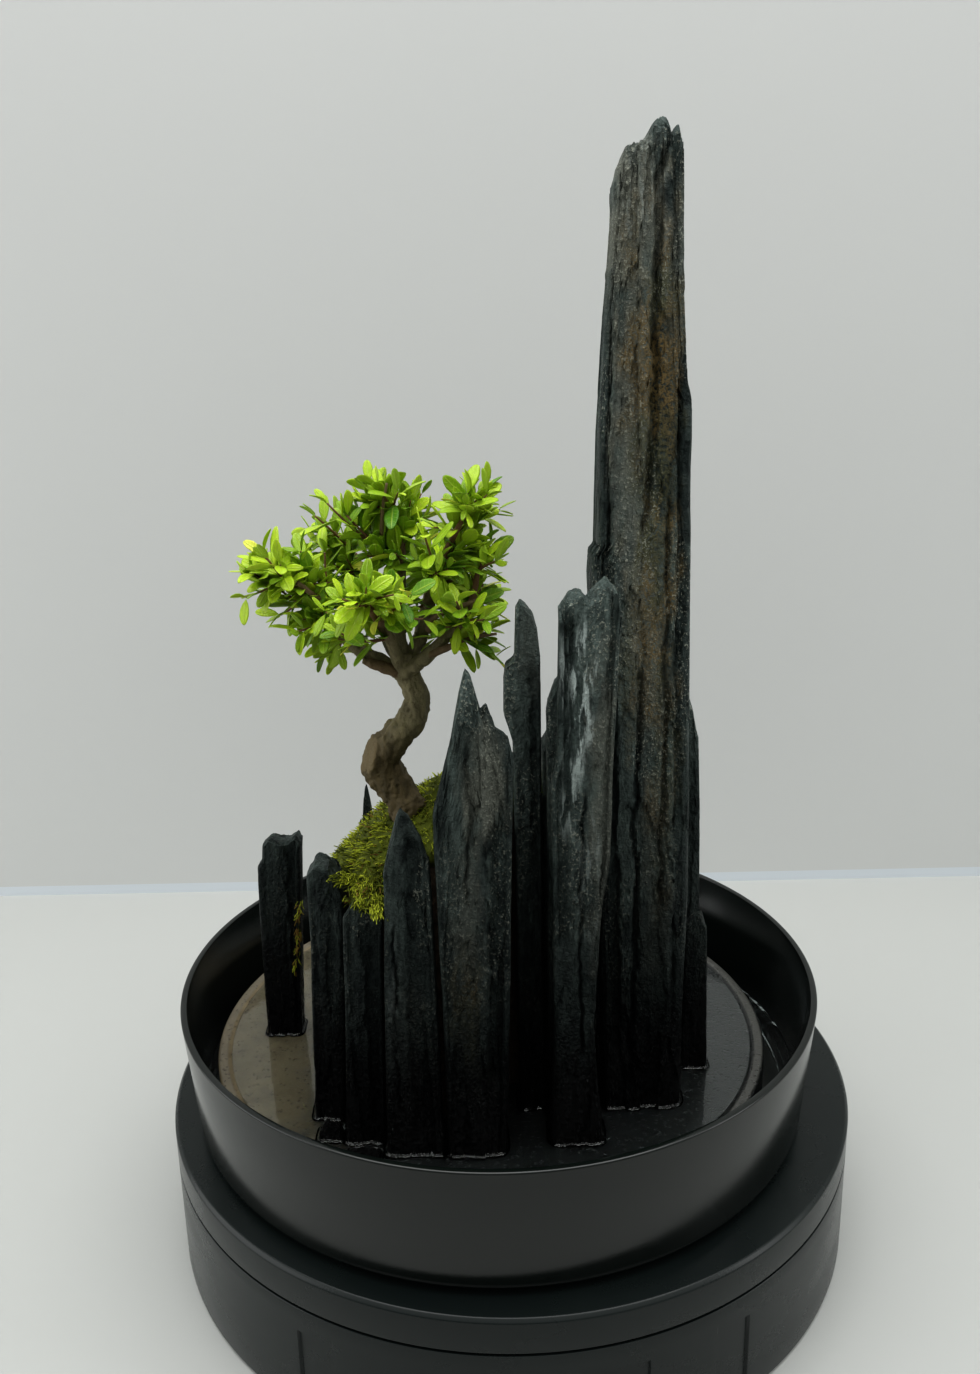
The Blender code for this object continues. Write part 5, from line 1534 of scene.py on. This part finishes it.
def make_leaves(shoots):
    """Closed oval leaves, widest past the middle and blunt, a shallow V on the midrib, curved back by t^2.

    Point = root + way * length * t + side * wide * cos a
    + normal * (thickness * sin a + fold * wide * |cos a| - droop * length * t squared).
    """
    roots, ways, faces, sizes = leaf_places(shoots)
    n, count = len(roots), 8
    draw = np.random.default_rng(402)

    def each(values):
        """One value for each leaf, spread over its stations, its rings and the axes."""
        return values[:, None, None, None]

    side = unit(np.cross(faces, ways))
    normal = np.cross(ways, side)
    length = each(LEAF_LENGTH * sizes)
    wide = each(LEAF_WIDTH / 2 * sizes * draw.uniform(0.82, 1.12, n)) * LEAF_HALF_WIDTHS[:, None, None]
    c, s = np.cos(full_turn(count))[:, None], np.sin(full_turn(count))[:, None]
    fold = each(draw.uniform(0.05, 0.4, n))
    droop = each(draw.uniform(-0.08, 0.34, n))
    t = LEAF_STATIONS[:, None, None]
    rings = roots[:, None, None] + ways[:, None, None] * length * t + side[:, None, None] * wide * c
    lift = LEAF_THICKNESS / 2 * s + fold * wide * np.abs(c) - droop * length * t**2
    rings = rings + normal[:, None, None] * lift
    end = roots + ways * length[:, 0, 0] * 0.99 - normal * droop[:, 0, 0] * length[:, 0, 0]
    # Painted shade: leaves nearer the middle of the crown are darker; the tone also varies at random, and a
    # few leaves are yellow.
    tone = 0.2 + 0.0115 * np.linalg.norm(roots - SHADE_HEART, axis=1) + draw.normal(0, 0.28, n)
    tone = np.where(draw.uniform(0, 1, n) > 0.97, 1.0, np.clip(tone, 0, 0.92))
    grid = np.zeros((n, len(t), count))
    marks = {"across": grid + np.abs(c[:, 0]), "along": grid + t[..., 0], "side": grid + (s[:, 0] < -0.1)}
    surface = Surface()
    surface.add_rings(rings + TREE_FOOT, roots + TREE_FOOT, end + TREE_FOOT, tone=tone, **marks)
    sprays = [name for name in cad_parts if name.startswith("spray_")]
    finish_piece("leaves", surface, LEAF, sprays)


make_stones()
make_soil()
make_mound()
make_moss_fronds()
make_moss_trails()
make_wood()
SHOOT_LINES = all_shoots()
make_twigs(SHOOT_LINES)
make_leaves(SHOOT_LINES)


# =============================== stage, light and camera ===============================
WALL_Y = 341.0
WALL_TOP = 1600.0
TABLE_FRONT = -900.0
TABLE_Z = -0.2
HALF_ROOM = 1500.0
STRIP_TOP = 8.0
CAMERA_PLACE = (-0.006, -0.4914, 0.3998)
CAMERA_PITCH = math.radians(15.45)
CAMERA_ROLL = math.radians(1.18)
CAMERA_LENS = 28.82


def stage_panel(name, near, far, look):
    """A flat panel across the room, from (y, z) at its near or lower edge to its far or upper edge."""
    sides = ((-HALF_ROOM, near), (HALF_ROOM, near), (HALF_ROOM, far), (-HALF_ROOM, far))
    mesh = bpy.data.meshes.new(name)
    mesh.from_pydata([(x * MM, y * MM, z * MM) for x, (y, z) in sides], [], [(0, 1, 2, 3)])
    mesh.materials.append(look)
    panel = bpy.data.objects.new(name, mesh)
    bpy.context.scene.collection.objects.link(panel)


def plain_look(name, colour, roughness, clear_behind=False):
    """A plain colour, faintly cloudy; clear_behind makes its back invisible."""
    look, tree, shader = new_look(name)
    cloudy = cloud(tree, object_place(tree), 3.0, 2.0)
    tint = mixed(tree, cloudy, tuple(0.97 * c for c in colour), colour)
    set_shader(tree, shader, Base_Color=tint, Roughness=roughness)
    if clear_behind:
        away = node(tree, "NewGeometry").outputs["Backfacing"]
        choice = tree.nodes.new("ShaderNodeMixShader")
        tree.links.new(away, choice.inputs[0])
        tree.links.new(shader.outputs[0], choice.inputs[1])
        tree.links.new(node(tree, "BsdfTransparent").outputs[0], choice.inputs[2])
        tree.links.new(choice.outputs[0], tree.nodes["Material Output"].inputs[0])
    return look


def make_stage():
    """The table, the wall behind it, and the pale strip where they meet."""
    table = plain_look("table", (0.45, 0.455, 0.44), 0.6)
    wall = plain_look("wall", (0.58, 0.585, 0.575), 0.8, True)
    edge = plain_look("edge", (0.62, 0.66, 0.7), 0.4, True)
    stage_panel("table_top", (TABLE_FRONT, TABLE_Z), (WALL_Y, TABLE_Z), table)
    stage_panel("back_wall", (WALL_Y, -1.0), (WALL_Y, WALL_TOP), wall)
    stage_panel("wall_strip", (WALL_Y - 1.5, 0.0), (WALL_Y - 1.5, STRIP_TOP), edge)


def add_lamp(name, place, size, power):
    """A rectangular lamp that points at the middle of the stones."""
    lamp = bpy.data.lights.new(name, "AREA")
    lamp.shape, lamp.size, lamp.size_y = "RECTANGLE", size[0], size[1]
    lamp.energy = power
    holder = bpy.data.objects.new(name, lamp)
    holder.location = place
    aim = Vector((0.0, 0.0, 0.2)) - Vector(place)
    holder.rotation_euler = aim.to_track_quat("-Z", "Y").to_euler()
    bpy.context.scene.collection.objects.link(holder)


def make_light():
    """A dim room, brighter overhead and behind, with a large ceiling light and two side lights."""
    world = bpy.data.worlds.new("room")
    world.use_nodes = True
    tree = world.node_tree
    way = node(tree, "SeparateXYZ", {0: node(tree, "TexCoord").outputs["Generated"]}).outputs
    bright = plus(tree, way[2], times(tree, way[1], 0.35))
    glow = band(tree, bright, -0.35, 0.75, 0.1, 1.0)
    tree.links.new(glow, tree.nodes["Background"].inputs[1])
    tree.nodes["Background"].inputs[0].default_value = (0.93, 0.97, 0.95, 1.0)
    bpy.context.scene.world = world
    add_lamp("ceiling", (0.0, -0.15, 1.5), (1.6, 1.1), 15.0)
    add_lamp("left", (-1.25, -0.15, 0.55), (1.2, 0.9), 5.0)
    add_lamp("right", (1.3, -0.4, 0.7), (0.5, 0.9), 3.0)
    bpy.context.scene.view_settings.view_transform = "Standard"
    bpy.context.scene.view_settings.look = "Medium High Contrast"


def make_camera():
    """The camera's axes: level right and up, turned by the pitch and then rolled."""
    pitch, roll = CAMERA_PITCH, CAMERA_ROLL
    ahead = Vector((0.0, math.cos(pitch), -math.sin(pitch)))
    level = Vector((1.0, 0.0, 0.0))
    steep = Vector((0.0, math.sin(pitch), math.cos(pitch)))
    right = level * math.cos(roll) - steep * math.sin(roll)
    up = level * math.sin(roll) + steep * math.cos(roll)
    lens = bpy.data.cameras.new("camera")
    lens.lens, lens.sensor_width = CAMERA_LENS, 36.0
    lens.clip_start, lens.clip_end = 0.01, 20.0
    camera = bpy.data.objects.new("camera", lens)
    turn = Matrix((right, up, -ahead)).transposed().to_4x4()
    camera.matrix_world = Matrix.Translation(CAMERA_PLACE) @ turn
    bpy.context.scene.collection.objects.link(camera)
    bpy.context.scene.camera = camera


make_stage()
make_light()
make_camera()
